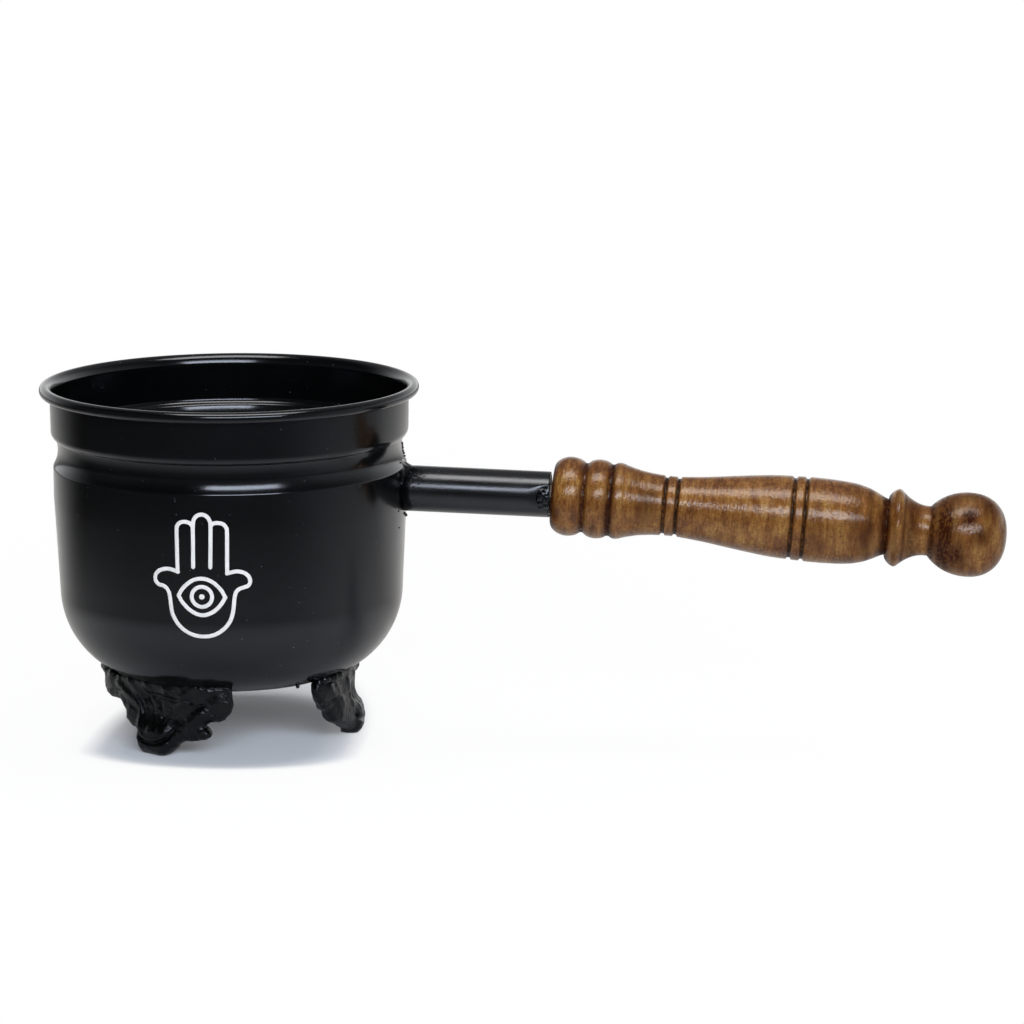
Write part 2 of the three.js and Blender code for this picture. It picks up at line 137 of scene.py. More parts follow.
def smooth_run(points: Pairs, steps: int) -> np.ndarray:
    """A cubic run through all the points, whose slope at each is that of the line between its neighbours.

    Args:
        points: what the run passes through.
        steps: steps between two of them.

    Returns:
        The points of the run, both ends kept.
    """
    knots = np.array(points, float)
    padded = np.vstack([2 * knots[0] - knots[1], knots, 2 * knots[-1] - knots[-2]])
    share = np.linspace(0, 1, steps, endpoint=False)[None, :, None]
    a, b, c, d = (padded[i : len(knots) - 1 + i, None, :] for i in range(4))
    run = b + 0.5 * share * (c - a + share * (2 * a - 5 * b + 4 * c - d + share * (3 * (b - c) + d - a)))
    return np.vstack([run.reshape(-1, knots.shape[1]), knots[-1:]])


def path_distance(points: np.ndarray, path: np.ndarray) -> tuple[np.ndarray, np.ndarray]:
    """Distance from each point to a path of straight runs: the least over the runs.

    Args:
        points: places, one row each.
        path: corners of the path, one row each.

    Returns:
        The distances, and the nearest places on the path.
    """
    best = np.full(len(points), np.inf)
    nearest = np.zeros_like(points)
    for start, end in zip(path[:-1], path[1:]):
        run = end - start
        length = max(float(run @ run), TINY)
        share = np.clip((points - start) @ run / length, 0, 1)
        foot = start + share[:, None] * run
        away = np.linalg.norm(points - foot, axis=1)
        closer = away < best
        best[closer] = away[closer]
        nearest[closer] = foot[closer]
    return best, nearest


def outline_distance(points: np.ndarray, outline: np.ndarray) -> np.ndarray:
    """Signed distance to a closed outline, negative inside, where a line to the right crosses it an odd
    number of times.

    Args:
        points: places in the outline's plane.
        outline: its corners, without the first one repeated.

    Returns:
        The signed distances.
    """
    loop = np.vstack([outline, outline[:1]])
    away, _ = path_distance(points, loop)
    inside = np.zeros(len(points), bool)
    for (ax, ay), (bx, by) in zip(loop[:-1], loop[1:]):
        if ay == by:
            continue
        crosses = (ay > points[:, 1]) != (by > points[:, 1])
        inside ^= crosses & (points[:, 0] < (bx - ax) * (points[:, 1] - ay) / (by - ay) + ax)
    return np.where(inside, -away, away)


def blend_max(a: np.ndarray, b: np.ndarray, width: float) -> np.ndarray:
    """The larger of two distances, eased over a width, so that the edge between two faces is rounded."""
    share = np.clip(0.5 + 0.5 * (a - b) / width, 0, 1)
    return b + (a - b) * share + width * share * (1 - share)


def blend_min(a: np.ndarray, b: np.ndarray, width: float) -> np.ndarray:
    """The smaller of two distances, eased over a width: two bodies meet in a fillet."""
    return -blend_max(-a, -b, width)


def bell(away: np.ndarray, width: float, power: int = 2) -> np.ndarray:
    """One on a line, falling off beside it: e to the minus power of distance over width."""
    return np.exp(-((away / width) ** power))


def moved(own: np.ndarray, frame_: Matrix) -> np.ndarray:
    """Turns and shifts points: each row times the matrix's turn, plus its shift."""
    table = np.array(frame_)
    return own @ table[:3, :3].T + table[:3, 3]


def lumps(points: np.ndarray, size: float, seed: int) -> np.ndarray:
    """Smooth random heights from -1 to 1: mixed values at the corners of a lattice, eased between them.

    Args:
        points: places, one row each.
        size: spacing of the lattice in millimetres.
        seed: which set of values.

    Returns:
        One height for each place.
    """
    place = points / size
    base = np.floor(place)
    ease = place - base
    ease = ease * ease * (3 - 2 * ease)
    total = np.zeros(points.shape[:-1])
    for corner in np.ndindex(2, 2, 2):
        # The usual hash of a sine: any large numbers without a common factor mix the corners well.
        mixed = np.sin((base + corner) @ np.array([127.1, 311.7, 74.7]) + seed * 17.3) * 43758.5453
        weight = np.prod(np.where(np.array(corner, bool), ease, 1 - ease), axis=-1)
        total += (2 * (mixed - np.floor(mixed)) - 1) * weight
    return total


def swell(points: np.ndarray, layers: Layers, seed: int = 0) -> np.ndarray:
    """Adds up layers of lumps.

    Args:
        points: places, one row each.
        layers: height, spacing and seed of each layer.
        seed: added to each layer's own.

    Returns:
        One height for each place.
    """
    return sum(height * lumps(points, size, seed + own_seed) for height, size, own_seed in layers)


# Surfaces


def turned(profile: np.ndarray, sides: int) -> Shape:
    """Turns a profile of radii and heights about Z: each row is a ring of the radius times cosine and sine.

    Args:
        profile: starts and ends on the axis, or closes on itself when its first radius is not zero.
        sides: points round each ring.

    Returns:
        Points and faces.
    """
    pole = profile[0, 0] < TINY
    rings = profile[1:-1] if pole else profile
    angles = np.linspace(0, 2 * np.pi, sides, endpoint=False)
    round_, up = np.meshgrid(angles, rings[:, 1])
    radius = rings[:, :1]
    points = np.stack([radius * np.cos(round_), radius * np.sin(round_), up], -1).reshape(-1, 3)
    index = np.arange(len(points)).reshape(len(rings), sides)
    upper = index[1:] if pole else np.roll(index, -1, 0)
    lower = index[:-1] if pole else index
    quads = np.stack([lower, np.roll(lower, -1, 1), np.roll(upper, -1, 1), upper], -1).reshape(-1, 4)
    if not pole:
        return points, [quads]
    first, last = len(points), len(points) + 1
    points = np.vstack([points, [0, 0, profile[0, 1]], [0, 0, profile[-1, 1]]])
    low = np.stack([np.full(sides, first), np.roll(index[0], -1), index[0]], 1)
    high = np.stack([np.full(sides, last), index[-1], np.roll(index[-1], -1)], 1)
    return points, [quads, low, high]


def surface_net(values: np.ndarray) -> Shape:
    """Closed skin round the negative part of a grid of distances.

    Each cell with both signs gets one point, the mean of the places where its edges change sign, and each
    grid edge that changes sign gets the quad of its four cells.

    Args:
        values: distances on a regular grid, positive along its border.

    Returns:
        Points in grid steps, and faces.
    """
    inside = values < 0
    size = np.array(values.shape) - 1
    corners = np.ndindex(2, 2, 2)
    count = sum(inside[a : a + size[0], b : b + size[1], c : c + size[2]].astype(int) for a, b, c in corners)
    active = (count > 0) & (count < 8)
    cells = np.argwhere(active)
    number = np.full(size, -1)
    number[active] = np.arange(len(cells))
    total, hits = np.zeros((len(cells), 3)), np.zeros(len(cells))
    for axis in range(3):
        for side in np.ndindex(2, 2):
            start = cells + np.insert(side, axis, 0)
            end = cells + np.insert(side, axis, 1)
            a, b = values[tuple(start.T)], values[tuple(end.T)]
            crossed = (a < 0) != (b < 0)
            share = np.where(crossed, a / np.where(crossed, a - b, 1), 0)
            place = start.astype(float)
            place[:, axis] += share
            total += place * crossed[:, None]
            hits += crossed
    quads = []
    for axis in range(3):
        one, two = np.eye(3, dtype=int)[(axis + 1) % 3], np.eye(3, dtype=int)[(axis + 2) % 3]
        low = inside.take(range(size[axis]), axis)
        high = inside.take(range(1, size[axis] + 1), axis)
        edges = np.argwhere(low != high)
        quad = np.stack([number[tuple((edges - shift).T)] for shift in (one + two, two, 0 * one, one)], 1)
        outwards = low[tuple(edges.T)]
        quads.append(np.where(outwards[:, None], quad, quad[:, ::-1]))
    return total / hits[:, None], [np.vstack(quads)]


def grid_of(low: Corner, high: Corner, step: float) -> np.ndarray:
    """The places of a regular grid between two corners, with one more axis for the coordinates."""
    lines = [np.arange(a, b + step, step) for a, b in zip(low, high)]
    return np.stack(np.meshgrid(*lines, indexing="ij"), -1)


def solid_of(low: Corner, high: Corner, step: float, distance: Callable[[np.ndarray], np.ndarray]) -> Shape:
    """Skins a body given by its signed distance between two corners.

    Args:
        low: lowest corner.
        high: highest corner.
        step: spacing of the grid.
        distance: gives the signed distance of every place of the grid.

    Returns:
        Points in the body's own coordinates, and faces.
    """
    values = distance(grid_of(low, high, step))
    # The border counts as outside, so that the skin is closed.
    for axis in range(3):
        edge = np.moveaxis(values, axis, 0)
        edge[0] = edge[-1] = np.maximum(edge[[0, -1]], step).max()
    points, faces = surface_net(values)
    return points * step + np.array(low, float), faces


def joined(shapes: list[Shape]) -> Shape:
    """Puts several closed shapes into one.

    Args:
        shapes: points and faces of each.

    Returns:
        All the points, and all the faces, numbered to match.
    """
    points, faces, start = [], [], 0
    for own, own_faces in shapes:
        points.append(own)
        faces.extend(face + start for face in own_faces)
        start += len(own)
    return np.vstack(points), faces


def six_volumes(points: np.ndarray, faces: list[np.ndarray]) -> float:
    """Six times the enclosed volume: the sum of the triple products of each face's fan of triangles.

    Args:
        points: corners of the shape.
        faces: its faces, sorted into arrays by their number of corners.

    Returns:
        The volume times six, negative when the faces point inwards.
    """
    total = 0.0
    for face in faces:
        for i in range(1, face.shape[1] - 1):
            a, b, c = points[face[:, 0]], points[face[:, i]], points[face[:, i + 1]]
            total += float(np.sum(a * np.cross(b, c)))
    return total


def show(name: str, data: bpy.types.ID) -> bpy.types.Object:
    """Makes an object and puts it in the scene.

    Args:
        name: its name.
        data: the mesh, lamp or camera that it shows.

    Returns:
        The object.
    """
    made = bpy.data.objects.new(name, data)
    bpy.context.scene.collection.objects.link(made)
    return made


def make_piece(
    name: str, shape: Shape, finish: "Finish", nodes: tuple[str, ...] = (), **marks: np.ndarray
) -> bpy.types.Object:
    """Makes a smooth closed mesh that faces outwards, dresses it, and lets it ride on the censer.

    Args:
        name: the piece's name.
        shape: points in millimetres, and faces.
        finish: what it is dressed in.
        nodes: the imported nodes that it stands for.
        marks: values for each point, kept as attributes that the finish reads.

    Returns:
        The new object.
    """
    points, faces = shape
    if six_volumes(points - points.mean(0), faces) < 0:
        faces = [face[:, ::-1] for face in faces]
    mesh = bpy.data.meshes.new(name)
    corners = np.concatenate([face.ravel() for face in faces]).astype(np.int32)
    counts = np.concatenate([np.full(len(face), face.shape[1]) for face in faces])
    starts = np.concatenate([[0], np.cumsum(counts)[:-1]]).astype(np.int32)
    mesh.vertices.add(len(points))
    mesh.vertices.foreach_set("co", (points * MM).astype(np.float32).ravel())
    mesh.loops.add(len(corners))
    mesh.loops.foreach_set("vertex_index", corners)
    mesh.polygons.add(len(counts))
    mesh.polygons.foreach_set("loop_start", starts)
    mesh.update(calc_edges=True)
    mesh.validate()
    mesh.polygons.foreach_set("use_smooth", np.ones(len(mesh.polygons), bool))
    for mark, values in marks.items():
        attribute = mesh.attributes.new(mark, "FLOAT", "POINT")
        attribute.data.foreach_set("value", np.asarray(values, np.float32))
    mesh.materials.append(finish.material())
    piece = show(name, mesh)
    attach(piece, "root")
    if nodes:
        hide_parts(*nodes)
    log.info("%s: %d points, %d faces", name, len(points), len(counts))
    return piece


# Finishes


def srgb(code: str) -> tuple[float, float, float, float]:
    """Turns a hex colour as seen on a screen into the linear light that Blender works in, by the sRGB curve:
    a straight foot, then a power of 2.4.

    Args:
        code: the colour, such as #a0763e.

    Returns:
        Red, green and blue, with an alpha of one.
    """
    parts = [int(code[i : i + 2], 16) / 255 for i in (1, 3, 5)]
    return (*(c / 12.92 if c <= 0.04045 else ((c + 0.055) / 1.055) ** 2.4 for c in parts), 1.0)


def set_inputs(tree: bpy.types.NodeTree, node: bpy.types.Node, inputs: dict) -> None:
    """Wires a node's sockets, or sets their values.

    Args:
        tree: where the node is.
        node: the node.
        inputs: by socket name or number, the socket to link, the node whose first socket is linked, or the
            value.
    """
    for key, value in inputs.items():
        source = value.outputs[0] if isinstance(value, bpy.types.Node) else value
        if isinstance(source, bpy.types.NodeSocket):
            tree.links.new(source, node.inputs[key])
        else:
            node.inputs[key].default_value = source


def add_node(
    tree: bpy.types.NodeTree, kind: str, inputs: dict | None = None, **settings: object
) -> bpy.types.Node:
    """Adds a node, sets it up and wires it.

    Args:
        tree: where it goes.
        kind: the node's type, without the word ShaderNode before it.
        inputs: what its sockets get, as set_inputs takes it.
        settings: the node's own settings.

    Returns:
        The node.
    """
    node = tree.nodes.new("ShaderNode" + kind)
    for key, value in settings.items():
        setattr(node, key, value)
    set_inputs(tree, node, inputs or {})
    return node


def empty_tree(owner: bpy.types.Material | bpy.types.World) -> bpy.types.NodeTree:
    """Switches on the nodes of a material or a world, and takes out the ready-made ones.

    Args:
        owner: the material or the world.

    Returns:
        Its nodes, of which there are none yet.
    """
    owner.use_nodes = True
    owner.node_tree.nodes.clear()
    return owner.node_tree


def set_stops(node: bpy.types.Node, stops: list[tuple[float, tuple]]) -> bpy.types.NodeSocket:
    """Gives a colour ramp its stops.

    Args:
        node: the colour ramp.
        stops: place and colour of each stop, in order.

    Returns:
        The ramp's colour socket.
    """
    ramp = node.color_ramp
    while len(ramp.elements) < len(stops):
        ramp.elements.new(1.0)
    for element, (place, colour) in zip(ramp.elements, stops):
        element.position = place
        element.color = colour
    return node.outputs["Color"]


def grey(value: float) -> tuple[float, float, float, float]:
    """A neutral stop for a ramp that drives a number."""
    return (value, value, value, 1.0)


@dataclass(frozen=True)
class Finish:
    """A finish: its name, and the record's material slot that it belongs to."""

    name: str
    slot: str

    def dress(self, tree: bpy.types.NodeTree, shader: bpy.types.Node) -> None:
        """Wires the finish's pattern into its shader.

        Args:
            tree: the material's nodes.
            shader: the shader that they drive.

        Raises:
            NotImplementedError: always, because each finish has a pattern of its own.
        """
        raise NotImplementedError

    def material(self) -> bpy.types.Material:
        """Makes the material once, and finds it again after that.

        Returns:
            The material.
        """
        known = bpy.data.materials.get(self.name)
        if known:
            return known
        made = bpy.data.materials.new(self.name)
        made.use_nodes = True
        tree = made.node_tree
        self.dress(tree, tree.nodes["Principled BSDF"])
        return made


@dataclass(frozen=True)
class BlackPaint(Finish):
    """Black stoved enamel sprayed on steel: nearly black with a sharp weak sheen, slightly rippled as sprayed
    paint is, with a few pale specks of dust. Poured thick over a weld or a casting, it is smoother and shines
    in spots."""

    colour: str = "#060708"
    roughness: float = 0.15
    ior: float = 1.6
    ripple: float = 0.9
    ripple_height: float = 0.012
    grain_height: float = 0.004
    dust: float = 1.0
    grain_width: float = 0.3
    smear_width: float = 14.0
    # Real specks are under 0.1 mm wide. They are drawn up to 0.28 mm wide, or a pixel would lose them.
    dust_spacing: float = 1.9
    dust_edge: tuple[float, float] = (0.035, 0.075)
    dust_rarity: float = 0.6
    dust_colour: str = "#8f9296"
    # The paint's reflections are tinted pale blue: a painted tint of the reflected light, not the enamel's
    # own colour.
    painted_blue_sheen_tint: str = "#eff4ff"

    def dress(self, tree: bpy.types.NodeTree, shader: bpy.types.Node) -> None:
        """A millimetre-wide ripple and finer grain lift the surface, and specks of dust turn it pale.

        Args:
            tree: the material's nodes.
            shader: the shader that they drive.
        """
        place = add_node(tree, "TexCoord").outputs["Object"]
        ripple = add_node(
            tree, "TexNoise", {"Vector": place, "Scale": 1 / (self.ripple * 2 * MM), "Detail": 2.0},
        )
        grain = add_node(
            tree, "TexNoise", {"Vector": place, "Scale": 1 / (self.grain_width * MM), "Detail": 1.0},
        )
        smear = add_node(
            tree, "TexNoise", {"Vector": place, "Scale": 1 / (self.smear_width * MM), "Detail": 3.0},
        )
        fluff = add_node(tree, "TexVoronoi", {"Vector": place, "Scale": 1 / (self.dust_spacing * MM)})
        speck = add_node(tree, "MapRange", {
            "Value": fluff.outputs["Distance"], "From Min": self.dust_edge[0], "From Max": self.dust_edge[1],
            "To Min": 1.0, "To Max": 0.0,
        })
        chance = add_node(tree, "SeparateColor", {"Color": fluff.outputs["Color"]}).outputs["Red"]
        rare = add_node(tree, "MapRange", {"Value": chance, "From Min": self.dust_rarity, "From Max": 1.0})
        dust = add_node(tree, "Math", {0: speck, 1: rare}, operation="MULTIPLY")
        shown = add_node(tree, "Math", {0: dust, 1: self.dust}, operation="MULTIPLY")
        colour = add_node(tree, "Mix", {
            "Factor": shown, MIX_A: srgb(self.colour), MIX_B: srgb(self.dust_colour),
        }, data_type="RGBA")
        dulled = add_node(tree, "MapRange", {
            "Value": smear, "From Min": 0.35, "From Max": 0.7,
            "To Min": self.roughness * 0.9, "To Max": self.roughness * 1.25,
        })
        lift = add_node(
            tree, "Bump", {"Height": ripple, "Distance": self.ripple_height * MM, "Strength": 1.0},
        )
        fine = add_node(tree, "Bump", {
            "Height": grain, "Distance": self.grain_height * MM, "Strength": 1.0, "Normal": lift,
        })
        # Specular Tint paints the sheen pale blue.
        set_inputs(tree, shader, {
            "Base Color": colour.outputs[MIXED], "Roughness": dulled, "Normal": fine,
            "IOR": self.ior, "Specular Tint": srgb(self.painted_blue_sheen_tint),
        })


@dataclass(frozen=True)
class PrintInk(Finish):
    """Screen-printed white enamel ink: a dull, even white film, a little greyer where the ink lay thin."""

    colour: str = "#ffffff"
    thin: str = "#f2f3f4"
    roughness: float = 0.6
    ior: float = 1.6
    cloud_width: float = 3.0
    # The mesh of a printing screen is about 0.1 mm. It is drawn coarser, as wide as a pixel can show.
    tooth_width: float = 0.25
    tooth_height: float = 0.01

    def dress(self, tree: bpy.types.NodeTree, shader: bpy.types.Node) -> None:
        """Broad faint clouds of thinner ink, and the fine tooth of the screen's mesh.

        Args:
            tree: the material's nodes.
            shader: the shader that they drive.
        """
        place = add_node(tree, "TexCoord").outputs["Object"]
        cloud = add_node(
            tree, "TexNoise", {"Vector": place, "Scale": 1 / (self.cloud_width * MM), "Detail": 3.0},
        )
        tooth = add_node(
            tree, "TexNoise", {"Vector": place, "Scale": 1 / (self.tooth_width * MM), "Detail": 1.0},
        )
        colour = set_stops(
            add_node(tree, "ValToRGB", {"Fac": cloud}), [(0.3, srgb(self.thin)), (0.55, srgb(self.colour))],
        )
        bump = add_node(tree, "Bump", {"Height": tooth, "Distance": self.tooth_height * MM, "Strength": 1.0})
        set_inputs(tree, shader, {
            "Base Color": colour, "Normal": bump, "Roughness": self.roughness, "IOR": self.ior,
        })


@dataclass(frozen=True)
class MildSteel(Finish):
    """Bare drawn mild steel rod: grey metal with fine lines from the die and a little brown in patches."""

    colour: str = "#9a9b9d"
    rust: str = "#6b5a4c"
    roughness: float = 0.4
    line_width: float = 0.2
    line_stretch: float = 0.05
    line_height: float = 0.01
    patch_width: float = 4.0

    def dress(self, tree: bpy.types.NodeTree, shader: bpy.types.Node) -> None:
        """Long thin lines along the rod, and patches of the first rust.

        Args:
            tree: the material's nodes.
            shader: the shader that they drive.
        """
        place = add_node(tree, "TexCoord").outputs["Object"]
        along = add_node(tree, "Mapping", {"Vector": place, "Scale": (self.line_stretch, 1.0, 1.0)})
        drawn = add_node(
            tree, "TexNoise", {"Vector": along, "Scale": 1 / (self.line_width * MM), "Detail": 2.0},
        )
        patch = add_node(
            tree, "TexNoise", {"Vector": place, "Scale": 1 / (self.patch_width * MM), "Detail": 4.0},
        )
        colour = set_stops(
            add_node(tree, "ValToRGB", {"Fac": patch}), [(0.45, srgb(self.colour)), (0.7, srgb(self.rust))],
        )
        bump = add_node(tree, "Bump", {"Height": drawn, "Distance": self.line_height * MM, "Strength": 1.0})
        set_inputs(tree, shader, {
            "Base Color": colour, "Normal": bump, "Metallic": 1.0, "Roughness": self.roughness,
        })


@dataclass(frozen=True)
class TurnedWood(Finish):
    """Turned hardwood under varnish: golden brown with a ripple across the grain, redder and darker in marked
    patches and bands, short dark pores, and the faint rings of the turner's gouge, all under a thin clear
    coat.
    The burned grooves are black."""

    origin: tuple[float, float, float] = (0.0, 0.0, 0.0)
    slope: float = 0.0
    light: str = "#a0763e"
    golden: str = "#895b2b"
    middle: str = "#73461e"
    dark: str = "#563013"
    stained: str = "#381a0b"
    burned: str = "#1e0f08"
    ripple_width: float = 2.2
    cloud_width: float = 7.0
    mottle_width: float = 0.6
    # Real pores are about 0.1 mm wide. They are drawn as wide as a pixel, or they would only blur the tone.
    pore_width: float = 0.3
    ring_width: float = 0.45
    ring_height: float = 0.03
    grain_height: float = 0.14
    tone_weights: tuple[float, float, float] = (0.4, 0.28, 0.32)
    wood_roughness: float = 0.55
    coat_roughness: float = 0.19
    ior: float = 1.5

    def noise(
        self, tree: bpy.types.NodeTree, own: bpy.types.NodeSocket, stretch: tuple[float, float, float],
        width: float, detail: float,
    ) -> bpy.types.NodeSocket:
        """A field of clouds.

        Args:
            tree: the material's nodes.
            own: places on the handle, with X along it.
            stretch: each axis's share of the usual scale. The clouds are drawn out where it is below one.
            width: their width in millimetres.
            detail: how many finer layers they have.

        Returns:
            The field.
        """
        place = add_node(tree, "Mapping", {"Vector": own, "Scale": stretch})
        return add_node(
            tree, "TexNoise", {"Vector": place, "Scale": 1 / (width * MM), "Detail": detail},
        ).outputs["Fac"]

    def tone(
        self, tree: bpy.types.NodeTree, own: bpy.types.NodeSocket, mottle: bpy.types.NodeSocket
    ) -> bpy.types.NodeSocket:
        """The clean wood's colour: ripple, clouds and mottle weighed into one tone, with dark pores.

        Args:
            tree: the material's nodes.
            own: places on the handle, with X along it.
            mottle: the finest of the three fields.

        Returns:
            The colour.
        """
        ripple = self.noise(tree, own, stretch=(1.0, 0.3, 0.3), width=self.ripple_width, detail=2.0)
        cloud = self.noise(tree, own, stretch=(0.6, 1.0, 1.0), width=self.cloud_width, detail=2.0)
        tone: bpy.types.Node | float = 0.0
        for field, weight in zip((ripple, cloud, mottle), self.tone_weights):
            tone = add_node(tree, "Math", {0: field, 1: weight, 2: tone}, operation="MULTIPLY_ADD")
        # Nearly all of the mixed noise lies between these stops.
        base = set_stops(add_node(tree, "ValToRGB", {"Fac": tone}), [
            (0.36, srgb(self.dark)), (0.44, srgb(self.middle)),
            (0.52, srgb(self.golden)), (0.62, srgb(self.light)),
        ])
        pores = self.noise(tree, own, stretch=(0.22, 1.0, 1.0), width=self.pore_width, detail=1.0)
        pore = add_node(tree, "MapRange", {"Value": pores, "From Min": 0.6, "From Max": 0.72, "To Max": 0.8})
        pored = add_node(tree, "Mix", {"Factor": pore, MIX_A: base, MIX_B: srgb(self.dark)}, data_type="RGBA")
        return pored.outputs[MIXED]

    def dress(self, tree: bpy.types.NodeTree, shader: bpy.types.Node) -> None:
        """The clean wood's tone, then turning marks, darkening and burns over it, all under the coat, which
        is thinner where the wood is darkened or burned.

        Args:
            tree: the material's nodes.
            shader: the shader that they drive.
        """
        own = add_node(tree, "Mapping", {
            "Vector": add_node(tree, "TexCoord").outputs["Object"],
            "Location": tuple(v * MM for v in self.origin), "Rotation": (0.0, self.slope, 0.0),
        }, vector_type="TEXTURE").outputs[0]
        mottle = self.noise(tree, own, stretch=(1.0, 0.5, 0.5), width=self.mottle_width, detail=3.0)
        rings = self.noise(tree, own, stretch=(1.0, 0.1, 0.1), width=self.ring_width, detail=2.0)
        shade = set_stops(add_node(tree, "ValToRGB", {"Fac": rings}), [(0.35, grey(0.8)), (0.65, grey(1.12))])
        ringed = add_node(
            tree, "Mix", {"Factor": 1.0, MIX_A: self.tone(tree, own, mottle), MIX_B: shade},
            data_type="RGBA", blend_type="MULTIPLY",
        )
        ragged = add_node(tree, "MapRange", {
            "Value": mottle, "From Min": 0.3, "From Max": 0.6, "To Min": 0.45, "To Max": 1.25,
        })
        even = add_node(tree, "MapRange", {
            "Value": mottle, "From Min": 0.35, "From Max": 0.55, "To Min": 0.45,
        })
        stain = add_node(tree, "Attribute", attribute_name="stain").outputs["Fac"]
        stain = add_node(tree, "Math", {0: stain, 1: ragged}, operation="MULTIPLY", use_clamp=True)
        char = add_node(tree, "Attribute", attribute_name="char").outputs["Fac"]
        char = add_node(tree, "Math", {0: char, 1: even}, operation="MULTIPLY", use_clamp=True)
        colour = ringed.outputs[MIXED]
        for share, code in ((stain, self.stained), (char, self.burned)):
            over = add_node(
                tree, "Mix", {"Factor": share, MIX_A: colour, MIX_B: srgb(code)}, data_type="RGBA",
            )
            colour = over.outputs[MIXED]
        dull = add_node(tree, "Math", {0: char, 1: stain}, operation="ADD", use_clamp=True)
        coat = add_node(tree, "MapRange", {"Value": dull, "To Min": 1.0, "To Max": 0.25})
        turning = add_node(
            tree, "Bump", {"Height": rings, "Distance": self.ring_height * MM, "Strength": 1.0},
        )
        grain = add_node(tree, "Bump", {
            "Height": mottle, "Distance": self.grain_height * MM, "Strength": 1.0, "Normal": turning,
        })
        set_inputs(tree, shader, {
            "Base Color": colour, "Normal": grain, "Coat Normal": grain, "Coat Weight": coat,
            "Roughness": self.wood_roughness, "IOR": self.ior, "Specular IOR Level": 0.0,
            "Coat Roughness": self.coat_roughness, "Coat IOR": self.ior,
        })


# Pot and print


